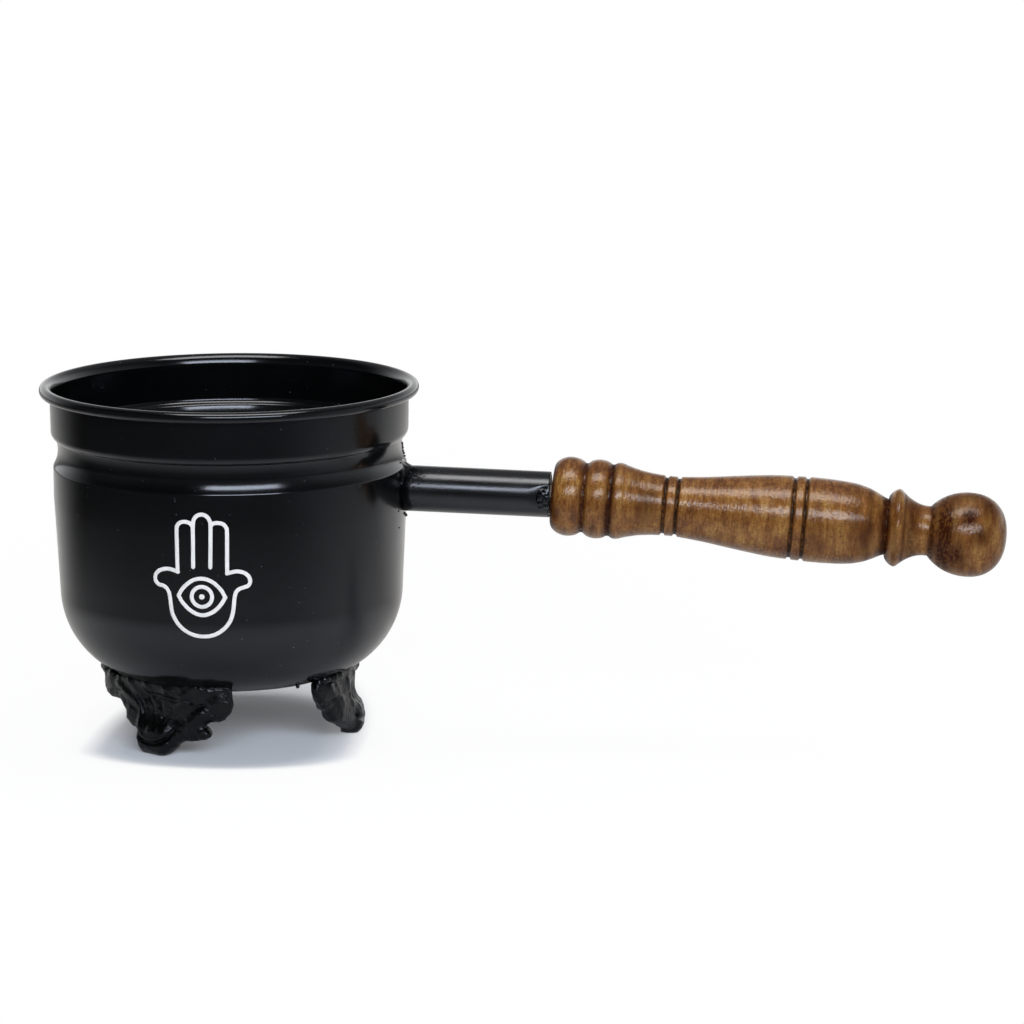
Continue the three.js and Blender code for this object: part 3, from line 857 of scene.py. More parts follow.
@dataclass
class Pot:
    """The pressed and spun steel pot, with its rolled rim, neck band, groove and rounded bottom."""

    paint: BlackPaint
    axis_x: float
    underside: float = 17.3
    sheet: float = 0.8
    body_radius: float = 49.75
    body_taper: float = 1.3
    corner_width: float = 24.9
    corner_height: float = 25.2
    taper_height: float = 26.5
    straight_height: float = 8.4
    flare_height: float = 4.12
    groove_depth: float = 2.1
    groove_height: float = 3.78
    crease_lean: float = 1.23
    band_rise: float = 1.1
    band_step: float = 0.62
    band_height: float = 9.3
    lip_height: float = 4.775
    # Lean in degrees and length of each part of the lip.
    lip: Pairs = ((13.6, 0.25), (23.6, 1.2), (39.0, 0.5), (50.0, 0.75))
    shoulder_bend: float = 0.7
    groove_bend: float = 9.2
    crease_bend: float = 0.5
    band_bend: float = 1.8
    band_lean: float = 0.12
    curl_bore: float = 0.75
    curl_sweep: float = 290.0
    # Degrees round the pot from the handle, distance from the axis, and radius.
    drip_place: tuple[float, float, float] = (-49.0, 33.8, 0.6)
    drip_stretch: float = 1.5
    drip_sink: float = 0.35
    sides: int = 256

    def shoulder(self) -> float:
        """Height of the shoulder above the pot's underside."""
        return self.corner_height + self.taper_height + self.straight_height

    def floor_radius(self) -> float:
        """Radius of the flat part of the bottom."""
        return self.body_radius - self.body_taper - self.corner_width

    def face(self) -> np.ndarray:
        """The sheet's outer face, from the axis to the top of the band.

        Returns:
            Its radii and heights above the underside.
        """
        low = self.body_radius - self.body_taper
        shoulder = np.array([self.body_radius, self.shoulder()])
        wide = shoulder - [0, self.straight_height]
        groove = shoulder + [-self.groove_depth, self.flare_height]
        crease = groove + [self.crease_lean, self.groove_height]
        band = np.array([self.body_radius + self.band_step - self.band_lean, crease[1] + self.band_rise])
        top = band + [self.band_lean, self.band_height]
        floor = self.floor_radius()
        return np.vstack([
            [0, 0], [floor / 2, 0],
            arc((floor, self.corner_height), (self.corner_width, self.corner_height), -90, 0, steps=48),
            np.linspace([low, self.corner_height], wide, num=9)[1:],
            rounded(wide, shoulder, groove, self.shoulder_bend + self.sheet, steps=8),
            rounded(shoulder, groove, crease, self.groove_bend, steps=20),
            rounded(groove, crease, band, self.crease_bend, steps=6),
            rounded(crease, band, top, self.band_bend + self.sheet, steps=8),
            np.linspace(band, top, num=5)[2:],
        ])

    def rim(self) -> np.ndarray:
        """The outer face above the band: straight up, then leaning out by the lip's table of angles and
        lengths on the inside of the sheet, then over in a tight circle. Each step moves by the sine and
        cosine of its lean.

        Returns:
            Its radii and heights above the underside.
        """
        foot = self.face()[-1]
        leans = np.radians([0.0, *(lean for lean, _ in self.lip)])
        lengths = np.array([length for _, length in self.lip]) - self.sheet * np.diff(leans)
        knots = np.cumsum([0.0, *lengths])
        along = np.linspace(0, knots[-1], num=33)
        lean = np.interp((along[1:] + along[:-1]) / 2, knots, leans)
        bend = np.cumsum(np.stack([np.sin(lean), np.cos(lean)], 1) * np.diff(along)[:, None], 0)
        tight = leans[-1]
        centre = bend[-1] + self.curl_bore * np.array([math.cos(tight), -math.sin(tight)])
        rise = np.array([0.0, self.lip_height - centre[1] - self.curl_bore - self.sheet])
        centre += foot + rise
        start, end = 180 - math.degrees(tight), 180 - self.curl_sweep
        curl = arc((centre[0], centre[1]), (self.curl_bore, self.curl_bore), start, end, steps=28)
        return np.vstack([np.linspace(foot, foot + rise, num=4)[1:], foot + rise + bend, curl[1:]])

    def wall_radius(self, height: np.ndarray) -> np.ndarray:
        """Outer radius at heights above the floor, from the underside to the band."""
        path = self.face()[1:]
        return np.interp(height, path[:, 1] + self.underside, path[:, 0])

    def bottom_height(self, radius: np.ndarray) -> np.ndarray:
        """Height of the underside above the floor: flat in the middle, then a quarter ellipse.

        Args:
            radius: distances from the pot's axis.

        Returns:
            The heights.
        """
        share = np.clip((radius - self.floor_radius()) / self.corner_width, 0, 1)
        return self.underside + self.corner_height * (1 - np.sqrt(1 - share * share))

    def drip(self) -> Shape:
        """A run of paint that dried as it hung from the underside: a ball drawn out downwards, partly in the
        sheet.

        Returns:
            Its points and faces.
        """
        turn, radius, size = self.drip_place
        angle = math.radians(turn)
        top = float(self.bottom_height(np.array([radius]))[0]) - self.drip_sink * size
        ball, faces = turned(arc((0, 0), (1, self.drip_stretch), -90, 90, steps=12), sides=20)
        return ball * size + [self.axis_x + radius * math.cos(angle), radius * math.sin(angle), top], faces

    def build(self) -> list[bpy.types.Object]:
        """Turns the sheet's closed section about the pot's axis, and hangs the drip under it.

        Returns:
            The pot and the drip.
        """
        outside = np.vstack([self.face(), self.rim()])
        inside = offset_path(outside, self.sheet)[::-1]
        inside[-1, 0] = 0
        points, faces = turned(np.vstack([outside, inside]), self.sides)
        points += [self.axis_x, 0, self.underside]
        return [
            make_piece("pot", (points, faces), self.paint, ("pot_shell",)),
            make_piece("paint_drip", self.drip(), self.paint),
        ]


@dataclass
class HandPrint:
    """The white line drawing of an open hand with an eye in its palm, printed on the pot's front."""

    ink: PrintInk
    pot: Pot
    line: float = 1.1
    unit: float = 0.05
    left: float = -16.0
    top: float = 75.0
    # Its middle and radius, in units of the drawing.
    iris: tuple[float, float, float] = (312.0, 516.0, 56.0)
    pupil_radius: float = 0.76
    film: float = 0.05
    cell: float = 0.14
    across: tuple[float, float] = (-15.0, 15.0)
    up: tuple[float, float] = (36.0, 74.0)
    outlines: tuple[Pairs, ...] = (
        (
            (268, 350), (270, 230), (272, 118), (278, 84), (296, 63), (320, 56), (344, 63), (361, 84),
            (368, 116), (366, 230), (362, 350),
        ),
        (
            (271, 128), (262, 112), (247, 102), (225, 98), (200, 104), (185, 121), (180, 148), (180, 260),
            (180, 379),
        ),
        (
            (368, 122), (378, 108), (392, 103), (412, 102), (437, 109), (452, 127), (457, 154), (455, 270),
            (453, 384),
        ),
        (
            (182, 380), (160, 372), (135, 366), (105, 367), (75, 378), (54, 398), (48, 421), (54, 443),
            (71, 457), (95, 462), (115, 476), (128, 500), (134, 535), (138, 580), (146, 620), (166, 660),
            (197, 696), (237, 723), (282, 738), (320, 740), (360, 735), (403, 716), (440, 685), (465, 648),
            (478, 610), (485, 568), (490, 522), (498, 492), (515, 473), (540, 464), (562, 457), (575, 441),
            (576, 420), (565, 398), (541, 380), (507, 373), (480, 377), (452, 384),
        ),
        (
            (182, 512), (205, 474), (238, 441), (274, 420), (310, 414), (347, 420), (386, 443), (419, 479),
            (440, 518),
        ),
        (
            (182, 512), (202, 548), (236, 585), (274, 610), (312, 619), (351, 611), (389, 587), (420, 552),
            (440, 518),
        ),
    )

    def strokes(self) -> list[tuple[np.ndarray, float]]:
        """The hand's outline, the lids, the iris and the pupil.

        Returns:
            A run of points for each, and half its line's width.
        """
        runs = [(self.place(smooth_run(outline, steps=8)), self.line / 2) for outline in self.outlines]
        x, y, radius = self.iris
        ring = self.place(arc((x, y), (radius, radius), 0, 360, steps=48))
        dot = self.place(np.array([[x, y], [x + 0.1, y]]))
        return runs + [(ring, self.line / 2), (dot, self.pupil_radius)]

    def place(self, drawn: np.ndarray) -> np.ndarray:
        """Drawing units, down from the print's top left, as millimetres along the wall and up."""
        return np.stack([self.left + drawn[:, 0] * self.unit, self.top - drawn[:, 1] * self.unit], 1)

    def nearest_edge(self, flat: np.ndarray) -> tuple[np.ndarray, np.ndarray]:
        """How far places lie outside the printed lines, and where the lines' edge is nearest.

        Args:
            flat: places along the wall and above the floor.

        Returns:
            The distances, negative on a line, and the nearest places on the edge.
        """
        away = np.full(len(flat), np.inf)
        edge = flat.copy()
        for run, half in self.strokes():
            gap, nearest = path_distance(flat, run)
            closer = gap - half < away
            away[closer] = (gap - half)[closer]
            out = (flat - nearest) / np.maximum(gap, TINY)[:, None]
            edge[closer] = (nearest + out * half)[closer]
        return away, edge

    def drawing(self) -> tuple[np.ndarray, np.ndarray]:
        """The film laid flat: the grid's cells whose corners are all on a line, with the corners on the
        border moved to the line's edge.

        Returns:
            Places along the wall and above the floor, and the corners of each cell.
        """
        lines = [np.arange(low, high + self.cell, self.cell) for low, high in (self.across, self.up)]
        grid = np.stack(np.meshgrid(*lines, indexing="ij"), -1)
        flat = grid.reshape(-1, 2)
        away, edge = self.nearest_edge(flat)
        inside = (away < 0).reshape(grid.shape[:2])
        kept = inside[:-1, :-1] & inside[1:, :-1] & inside[:-1, 1:] & inside[1:, 1:]
        cells_round = np.zeros(grid.shape[:2], int)
        for a, b in np.ndindex(2, 2):
            cells_round[a : a + kept.shape[0], b : b + kept.shape[1]] += kept
        used = cells_round > 0
        border = (used & (cells_round < 4)).ravel()
        flat = np.where(border[:, None], edge, flat)
        number = np.full(grid.shape[:2], -1)
        number[used] = np.arange(used.sum())
        cells = np.argwhere(kept)
        quad = np.stack([number[tuple((cells + shift).T)] for shift in ((0, 0), (1, 0), (1, 1), (0, 1))], 1)
        return flat[used.ravel()], quad

    def build(self) -> bpy.types.Object:
        """Wraps the drawing round the wall a film's thickness outside and inside the paint, and closes it
        with walls along every side that has a cell on one hand only.

        Returns:
            The print.
        """
        flat, quad = self.drawing()
        count = len(flat)
        sides = np.vstack([quad[:, [i, (i + 1) % 4]] for i in range(4)])
        rim = sides[~np.isin(sides @ [count, 1], sides @ [1, count])]
        walls = np.stack([rim[:, 1], rim[:, 0], rim[:, 0] + count, rim[:, 1] + count], 1)
        wall = self.pot.wall_radius(flat[:, 1])
        angle = flat[:, 0] / wall
        points = [
            np.stack([self.pot.axis_x + radius * np.sin(angle), -radius * np.cos(angle), flat[:, 1]], 1)
            for radius in (wall + self.film, wall - self.film)
        ]
        return make_piece("hand_print", (np.vstack(points), [quad, quad[:, ::-1] + count, walls]), self.ink)


# Feet


class FootEnd(Enum):
    """The two ends of a foot, as seen from outside, and the side of its middle that each is on."""

    LEFT = -1
    RIGHT = 1


RIGHT_EDGE: Pairs = (
    (3.3, -0.6), (5.0, 0.7), (6.6, 2.2), (8.5, 4.5), (10.7, 6.0), (12.9, 6.3), (14.7, 6.7), (16.8, 7.4),
    (18.0, 8.3), (18.1, 9.1), (17.3, 9.7), (15.9, 10.3), (16.4, 11.6), (18.0, 12.6), (20.1, 12.9),
    (21.8, 13.6), (23.2, 15.5), (23.8, 17.7), (23.5, 19.6), (22.6, 25.0),
)
FRONT_LEFT_EDGE: Pairs = (
    (-21.0, 25.0), (-24.6, 21.4), (-27.2, 19.2), (-29.2, 17.0), (-30.2, 14.6), (-29.6, 12.2), (-28.0, 10.9),
    (-25.0, 10.4), (-20.5, 10.6), (-17.6, 11.2), (-15.2, 11.4), (-14.1, 11.0), (-13.3, 10.1), (-12.2, 9.0),
    (-11.6, 7.0), (-9.6, 6.2), (-7.5, 5.9), (-5.9, 5.5), (-5.6, 4.4), (-4.6, 2.0), (-3.2, -0.6),
)
HANDLE_LEFT_EDGE: Pairs = (
    (-24.0, 25.0), (-24.9, 19.6), (-25.8, 18.3), (-26.2, 17.0), (-25.8, 15.4), (-25.0, 14.2), (-23.8, 12.6),
    (-22.6, 11.0), (-21.3, 10.4), (-20.4, 9.9), (-19.6, 8.8), (-18.4, 7.0), (-17.2, 6.2), (-15.4, 5.6),
    (-13.0, 4.7), (-9.6, 3.2), (-6.1, 2.0), (-3.6, -0.6),
)
FRONT_RIBS: tuple[Pairs, ...] = (
    ((-16.8, 16.0), (-12.5, 14.9), (-8.6, 13.6), (-5.3, 11.6), (-4.4, 7.6)),
    ((-10.6, 18.6), (-6.4, 15.4), (-3.6, 12.4), (-2.4, 8.6)),
    ((-3.2, 19.4), (-1.4, 15.0), (-0.4, 11.4), (0.2, 7.4)),
    ((3.6, 19.6), (2.8, 15.2), (2.2, 11.6), (1.9, 7.8)),
    ((9.8, 19.4), (7.4, 15.0), (5.4, 11.4), (4.2, 8.4)),
    ((15.5, 14.4), (13.1, 12.5), (12.0, 10.8), (12.1, 8.9)),
)
HANDLE_RIBS: tuple[Pairs, ...] = (
    ((-21.0, 17.2), (-18.6, 14.4), (-16.4, 11.3), (-15.0, 7.9)),
    ((-18.0, 16.9), (-15.8, 13.8), (-14.0, 10.1)),
    ((-11.4, 17.4), (-9.0, 13.1), (-7.2, 9.6)),
    ((-6.0, 18.0), (-4.2, 13.6), (-2.6, 8.4)),
    ((0.6, 18.8), (0.4, 14.0), (0.2, 8.2)),
    ((6.4, 18.6), (4.9, 13.6), (3.2, 8.6)),
    ((15.5, 14.4), (13.1, 12.5), (12.0, 10.8), (12.1, 8.9)),
)


@dataclass
class CastFoot:
    """One cast leaf foot: a bent plate with scrolled ends, ribs and a cupped toe, under thick paint."""

    paint: BlackPaint
    weld_paint: BlackPaint
    pot: Pot
    name: str
    turn: float
    lean: float
    left_edge: Pairs
    ribs: tuple[Pairs, ...]
    seed: int
    left_bend: float
    right_bend: float = 32.0
    face_reach: float = 35.5
    thickness: float = 4.6
    edge_round: float = 1.6
    weld_radius: float = 1.1
    weld_length: float = 7.0
    weld_place: float = 19.7
    weld_out: float = 0.4
    weld_drop: float = 0.6
    weld_overlap: float = 0.3
    weld_margin: float = 3.2
    weld_step: float = 0.24
    pot_overlap: float = 0.15
    plate_low: tuple[float, float, float] = (-33.0, -6.0, -1.4)
    plate_high: tuple[float, float, float] = (27.0, 5.0, 26.0)
    step: float = 0.32
    edge_growth: float = 0.3
    # How far along the plate starts to thin, over what length, and by what share.
    thinning: tuple[float, float, float] = (14.0, 13.0, 0.5)
    # The thick paint's lumps: height, spacing and seed.
    skin: Layers = ((0.17, 2.4, 0), (0.11, 1.15, 1), (0.08, 0.75, 2))
    rib_width: float = 1.15
    rib_height: float = 0.6
    groove_width: float = 0.6
    groove_depth: float = 0.5
    toe_groove_depth: float = 1.1
    # Middle along and up, size, and how far each stands out.
    scrolls: tuple[tuple[float, float, float, float], ...] = (
        (20.2, 16.9, 3.6, 0.8), (-23.2, 15.6, 4.2, 0.9), (16.2, 8.6, 1.7, 0.6),
    )
    # Middle along and up, half width, half height, and depth.
    waist: tuple[float, float, float, float, float] = (0.8, 13.5, 9.5, 4.6, 1.5)
    # Heights above the floor, and how far the toe stands out there.
    toe: Pairs = ((0.0, 0.3), (1.4, 1.6), (3.6, 2.2), (6.9, 1.5), (9.2, 0.0))
    toe_middle: float = 0.8
    toe_half: float = 6.2
    grooves: tuple[Pairs, ...] = (
        ((-7.0, 14.5), (-5.1, 12.7), (-4.0, 10.8)),
        ((-2.8, 15.6), (-0.9, 13.6), (-0.3, 11.2)),
        ((0.5, 15.8), (2.2, 13.7), (2.8, 11.1)),
        ((12.5, 14.9), (13.8, 16.2), (15.3, 16.9), (16.5, 16.9), (17.3, 16.2), (18.1, 15.4), (18.9, 15.2)),
        ((-26.9, 12.5), (-21.4, 12.7), (-15.5, 13.9)),
        ((-2.9, 16.5), (0.4, 16.9), (3.4, 17.0), (5.6, 16.7), (7.6, 17.1), (9.6, 17.7), (12.2, 17.5)),
    )
    toe_groove: Pairs = (
        (-5.1, 5.6), (-4.1, 4.7), (-1.8, 3.7), (0.7, 3.6), (2.9, 4.1), (5.0, 5.3), (6.3, 6.9), (7.1, 8.6),
    )

    def place(self, plate: np.ndarray) -> np.ndarray:
        """Bends the plate, flatter on the left where the leaf opens out, then leans it, then turns it to its
        place.

        Args:
            plate: places along the bend, out of the face and up.

        Returns:
            The same places in the censer's frame.
        """
        bend = np.where(plate[..., 0] < 0, self.left_bend, self.right_bend)
        radius, angle = bend + plate[..., 1], plate[..., 0] / bend
        x, y, z = self.face_reach - bend + radius * np.cos(angle), radius * np.sin(angle), plate[..., 2]
        lean, turn = math.radians(self.lean), math.radians(self.turn)
        y, z = y * math.cos(lean) - z * math.sin(lean), y * math.sin(lean) + z * math.cos(lean)
        x, y = x * math.cos(turn) - y * math.sin(turn), x * math.sin(turn) + y * math.cos(turn)
        return np.stack([x + self.pot.axis_x, y, z], -1)

    def below_pot(self, places: np.ndarray) -> np.ndarray:
        """How far places lie under the pot's underside: the drop to them, shortened where the underside is
        steep, which is nearly the distance.

        Args:
            places: places in the censer's frame.

        Returns:
            The distances, negative in the pot.
        """
        flat_radius, curve_run, steepest = 23.5, 26.0, 0.9
        radius = np.hypot(places[..., 0] - self.pot.axis_x, places[..., 1])
        slope = np.clip((radius - flat_radius) / curve_run, 0, steepest)
        return (self.pot.bottom_height(radius) - places[..., 2]) * (1 - slope * slope)

    def relief(self, flat: np.ndarray) -> np.ndarray:
        """How far the front face stands out: ribs and scrolls up, grooves and waist down, each a bell across
        its line.

        Args:
            flat: places along the bend and up.

        Returns:
            The heights.
        """
        along, up = flat.T
        out = np.zeros(len(flat))
        lines = [(rib, self.rib_width, self.rib_height) for rib in self.ribs]
        lines += [(groove, self.groove_width, -self.groove_depth) for groove in self.grooves]
        lines += [(self.toe_groove, self.groove_width, -self.toe_groove_depth)]
        for line, width, height in lines:
            away, _ = path_distance(flat, smooth_run(line, steps=4))
            out += height * bell(away, width)
        for middle, level, size, proud in self.scrolls:
            out += proud * bell(np.hypot(along - middle, up - level), size, 4)
        middle, level, half, half_up, depth = self.waist
        out -= depth * bell(np.hypot((along - middle) / half, (up - level) / half_up), 1, 4)
        return out + np.interp(up, *np.array(self.toe).T) * bell(along - self.toe_middle, self.toe_half, 6)

    def distance(self, plate: np.ndarray) -> np.ndarray:
        """Signed distance of the casting: outline, face and back met with rounded edges, less pot and floor.

        Args:
            plate: a regular grid of places along the bend, out of the face and up.

        Returns:
            The distances; outline and relief are worked out once for each place of the face.
        """
        face_grid = plate[:, 0][..., [0, 2]]
        flat = face_grid.reshape(-1, 2)
        shape = face_grid.shape[:2]
        outline = np.array(self.left_edge + RIGHT_EDGE)
        edge = outline_distance(flat, outline).reshape(shape)[:, None] - self.edge_growth
        proud = self.relief(flat).reshape(shape)[:, None]
        start, run, most = self.thinning
        thin = 1 - most * np.clip((np.abs(plate[..., 0]) - start) / run, 0, 1) ** 2
        back = -plate[..., 1] - self.thickness * thin
        body = blend_max(
            edge + 0 * back, blend_max(plate[..., 1] - proud, back, self.edge_round), self.edge_round,
        )
        places = self.place(plate)
        cut = np.maximum(-self.below_pot(places) - self.pot_overlap, -places[..., 2])
        return np.maximum(body + swell(plate, self.skin, self.seed), cut)

    def weld(self, end: FootEnd) -> Shape:
        """The bead in the corner between the pot and one end of the foot: a rod with a lumpy, uneven radius.

        Args:
            end: which end.

        Returns:
            Its points and faces.
        """
        run = self.weld_place * end.value + np.array([-0.5, -0.2, 0.2, 0.5]) * self.weld_length
        path = self.place(np.stack([run, np.full(4, self.weld_out), np.zeros(4)], 1))
        radius = np.hypot(path[:, 0] - self.pot.axis_x, path[:, 1])
        path[:, 2] = self.pot.bottom_height(radius) - self.weld_drop
        # Height, spacing and seed of the lumps, which differ from end to end.
        layers = ((0.3, 1.7, 5 + end.value), (0.14, 0.8, 9))

        def bead(places: np.ndarray) -> np.ndarray:
            """Distance to the rod's line, less its radius, with lumps, and cut off in the pot's sheet.

            Args:
                places: places in the censer's frame.

            Returns:
                The signed distances.
            """
            away = path_distance(places.reshape(-1, 3), path)[0].reshape(places.shape[:3])
            lumpy = away - self.weld_radius + swell(places, layers, self.seed)
            return np.maximum(lumpy, -self.below_pot(places) - self.weld_overlap)

        margin = self.weld_margin
        return solid_of(path.min(0) - margin, path.max(0) + margin, self.weld_step, bead)

    def build(self) -> list[bpy.types.Object]:
        """Skins the casting in its plate's coordinates and bends it into place, then welds both its ends.

        Returns:
            The casting and its two welds.
        """
        points, faces = solid_of(self.plate_low, self.plate_high, self.step, self.distance)
        places = self.place(points)
        places[:, 2] = np.maximum(places[:, 2], 0)
        made = [make_piece(f"foot_{self.name}_casting", (places, faces), self.paint, (f"foot_{self.name}",))]
        for end in FootEnd:
            side = end.name.lower()
            nodes = (f"foot_weld_{self.name}_{side}",)
            made.append(make_piece(f"foot_{self.name}_bead_{side}", self.weld(end), self.weld_paint, nodes))
        return made


# Stem


@dataclass
class Stem:
    """The steel tube between pot and handle, coped to the pot, with its weld, spatter and plug."""

    paint: BlackPaint
    weld_paint: BlackPaint
    pot: Pot
    radius: float = 6.45
    wall: float = 1.2
    length: float = 41.5
    slope: float = 1.7
    sag: float = 2.9
    seat_gap: float = 0.3
    notch_depth: float = 3.4
    notch_width: float = 6.6
    root_sink: float = 0.2
    root_rounds: int = 24
    end_round: float = 0.25
    end_chamfer: tuple[float, float] = (0.08, 0.07)
    fillet: float = 0.7
    fillet_top: float = 2.7
    seam_reach: float = 0.8
    bead_reach: float = 0.85
    bead_height: float = 0.12
    bead_lumps: Layers = ((0.24, 1.3, 31), (0.16, 0.7, 32))
    bead_low: tuple[float, float, float] = (-7.0, -10.4, -9.4)
    bead_high: tuple[float, float, float] = (4.5, 10.4, 11.4)
    sink_top: float = 0.1
    sink_below: float = 0.22
    # How much longer and higher than the notch the plug is, at each end.
    plug_growth: tuple[float, float] = (0.5, 0.2)
    plug_sink: float = 1.1
    plug_depth: float = 1.9
    plug_proud: float = 0.1
    plug_lumps: Layers = ((0.3, 1.5, 41), (0.24, 0.75, 42))
    sides: int = 224
    drop_height: float = 0.85
    # Degrees round the pot from the handle, height above the floor, and radius of each drop.
    wall_spatter: Triples = (
        (-7.5, 73.4, 0.5), (-1.5, 63.9, 0.5), (1.9, 62.9, 0.55), (7.5, 61.8, 0.5), (-10.5, 66.0, 0.3),
        (-5.0, 78.9, 0.35), (8.8, 81.9, 0.5), (9.4, 81.0, 0.55), (8.9, 80.2, 0.45), (9.6, 79.4, 0.5),
        (8.7, 78.7, 0.4), (4.0, 83.2, 0.4), (10.5, 70.0, 0.45), (9.2, 75.5, 0.35), (-9.0, 61.0, 0.25),
        (12.0, 64.4, 0.3),
    )
    # Place along the tube, degrees round it from the front, and radius of each drop.
    tube_spatter: Triples = (
        (3.2, 46.0, 0.62), (4.6, 49.0, 0.4), (3.9, 58.0, 0.36), (2.2, 38.0, 0.45), (1.6, 52.0, 0.5),
        (2.6, 26.0, 0.42), (1.5, 20.0, 0.5), (4.2, 33.0, 0.3), (5.2, 62.0, 0.28), (2.4, -24.0, 0.3),
        (3.6, 118.0, 0.4), (2.1, 165.0, 0.5), (3.0, 210.0, 0.35), (2.6, 262.0, 0.25), (2.8, 72.0, 0.45),
        (4.0, 40.0, 0.45), (3.1, 33.0, 0.4), (4.9, 38.0, 0.35), (5.6, 44.0, 0.3), (2.4, 44.0, 0.4),
        (3.6, 52.0, 0.35), (5.4, 54.0, 0.4), (2.9, 14.0, 0.45), (4.4, 12.0, 0.35), (1.9, 31.0, 0.4),
        (4.3, 22.0, 0.3),
    )

    def end(self) -> float:
        """Length of the tube along its axis, from the widest part of the pot."""
        return self.length - self.seat_gap - self.radius * math.sin(math.radians(self.sag))

    def notch_middle(self) -> float:
        """How far along the tube the notch's round bottom has its centre."""
        return self.end() - self.notch_depth + self.notch_width / 2

    def frame(self) -> Matrix:
        """The stem's own frame, in millimetres: X runs down the tube, and its origin is on the pot's wall.

        Returns:
            The frame.
        """
        top = self.pot.underside + self.pot.shoulder() - self.radius
        origin = Matrix.Translation((self.pot.axis_x + self.pot.body_radius, 0, top))
        return origin @ Matrix.Rotation(math.radians(self.slope), 4, "Y")

    def place(self, own: np.ndarray) -> np.ndarray:
        """From the stem's own frame to the censer's."""
        return moved(own, self.frame())

    def outside_pot(self, own: np.ndarray) -> np.ndarray:
        """How far points in the stem's own frame lie outside the pot's wall.

        Args:
            own: points, one row each.

        Returns:
            The distances, negative within the wall.
        """
        places = self.place(own)
        return np.hypot(places[:, 0] - self.pot.axis_x, places[:, 1]) - self.pot.wall_radius(places[:, 2])

    def root(self, radius: float, angles: np.ndarray) -> np.ndarray:
        """Where lines along the tube meet the pot's wall: each is moved by what it lacks, over and over.

        Args:
            radius: distance of the lines from the tube's axis.
            angles: their angles round it.

        Returns:
            How far along the tube each line starts.
        """
        x = np.zeros(len(angles))
        for _ in range(self.root_rounds):
            x -= self.outside_pot(np.stack([x, radius * np.cos(angles), radius * np.sin(angles)], 1))
        return x

    def mouth(self, radius: float, angles: np.ndarray) -> np.ndarray:
        """Where the tube ends: square, but for the half-round notch on its front.

        Args:
            radius: distance from the tube's axis.
            angles: angles round it.

        Returns:
            How far along the tube each line ends.
        """
        up = radius * np.sin(angles)
        half = self.notch_width / 2
        notch = self.notch_middle() - np.sqrt(np.clip(half * half - up * up, 0, None))
        return np.where((np.abs(up) < half) & (np.cos(angles) < 0), notch, self.end())

    def tube(self) -> Shape:
        """Rings from the pot along the outside, over the rounded end, and back inside, closed at the root.

        Returns:
            Its points and faces.
        """
        angles = np.linspace(0, 2 * np.pi, self.sides, endpoint=False)
        inner = self.radius - self.wall
        outer_root = self.root(self.radius, angles) - self.root_sink
        inner_root = self.root(inner, angles) - self.root_sink
        outer_end, inner_end = self.mouth(self.radius, angles), self.mouth(inner, angles)
        edge, (edge_in, edge_back) = self.end_round, self.end_chamfer
        there, back = np.linspace(0, 1, num=14), np.linspace(1, 0, num=8)[1:]
        rings = [(self.radius, outer_root + share * (outer_end - edge - outer_root)) for share in there]
        rings += [
            (self.radius - edge_in, outer_end - edge_back), (self.radius - edge, outer_end),
            (inner, inner_end),
        ]
        rings += [(inner, inner_root + share * (inner_end - inner_root)) for share in back]
        own = np.vstack([np.stack([x, r * np.cos(angles), r * np.sin(angles)], 1) for r, x in rings])
        index = np.arange(len(own)).reshape(len(rings), self.sides)
        ahead, beside = np.roll(index, -1, 0), np.roll(index, -1, 1)
        quads = np.stack([index, beside, np.roll(ahead, -1, 1), ahead], -1).reshape(-1, 4)
        return self.place(own), [quads]

    def bead(self) -> Shape:
        """The weld round the root: the fillet between tube and wall, wide, raised and lumpy on top, and
        narrow and sunk in them at the front and below, where it hardly shows. It is cut off where it has run
        out into them.

        Returns:
            Its points and faces.
        """

        def weld(own: np.ndarray) -> np.ndarray:
            """Fills the corner between tube and wall.

            Args:
                own: places in the stem's own frame.

            Returns:
                The signed distances.
            """
            rise = np.clip(np.sin(np.arctan2(own[..., 2], own[..., 1])), 0, 1)
            width = self.fillet + (self.fillet_top - self.fillet) * rise**2
            tube = np.hypot(own[..., 1], own[..., 2]) - self.radius
            wall = self.outside_pot(own.reshape(-1, 3)).reshape(tube.shape)
            seam = np.clip(1 - np.hypot(tube, wall) / (self.seam_reach * width), 0, 1)
            proud = self.bead_height + swell(own, self.bead_lumps)
            sunk = self.sink_top + self.sink_below * (1 - rise)
            filled = blend_min(tube + sunk, wall + sunk, width) - proud * seam * rise
            return np.maximum(filled, np.hypot(tube, wall) - self.bead_reach * width)

        points, faces = solid_of(self.bead_low, self.bead_high, step=0.22, distance=weld)
        return self.place(points), faces

    def plug(self) -> Shape:
        """The weld in the notch: a lumpy half dome, a little larger than the notch, cut off at the tube's
        end.

        Returns:
            Its points and faces.
        """
        half = self.notch_width / 2
        grow_along, grow_up = self.plug_growth
        middle, deep = np.array([self.notch_middle(), self.plug_sink - self.radius, 0.0]), self.plug_depth
        halves = np.array([half + grow_along, deep, half + grow_up])

        def weld(own: np.ndarray) -> np.ndarray:
            """Shapes the lumpy half dome: how far its place in the oval is past one, times the oval's depth.

            Args:
                own: places in the stem's own frame.

            Returns:
                The signed distances.
            """
            oval = np.linalg.norm((own - middle) / halves, axis=-1)
            return np.maximum(
                (oval - 1) * deep + swell(own, self.plug_lumps), own[..., 0] - self.end() - self.plug_proud,
            )

        low = (self.end() - 6.0, -self.radius - 2.4, -half - 2.0)
        high = (self.end() + 1.2, -self.radius + 4.0, half + 2.0)
        points, faces = solid_of(low, high, step=0.2, distance=weld)
        return self.place(points), faces

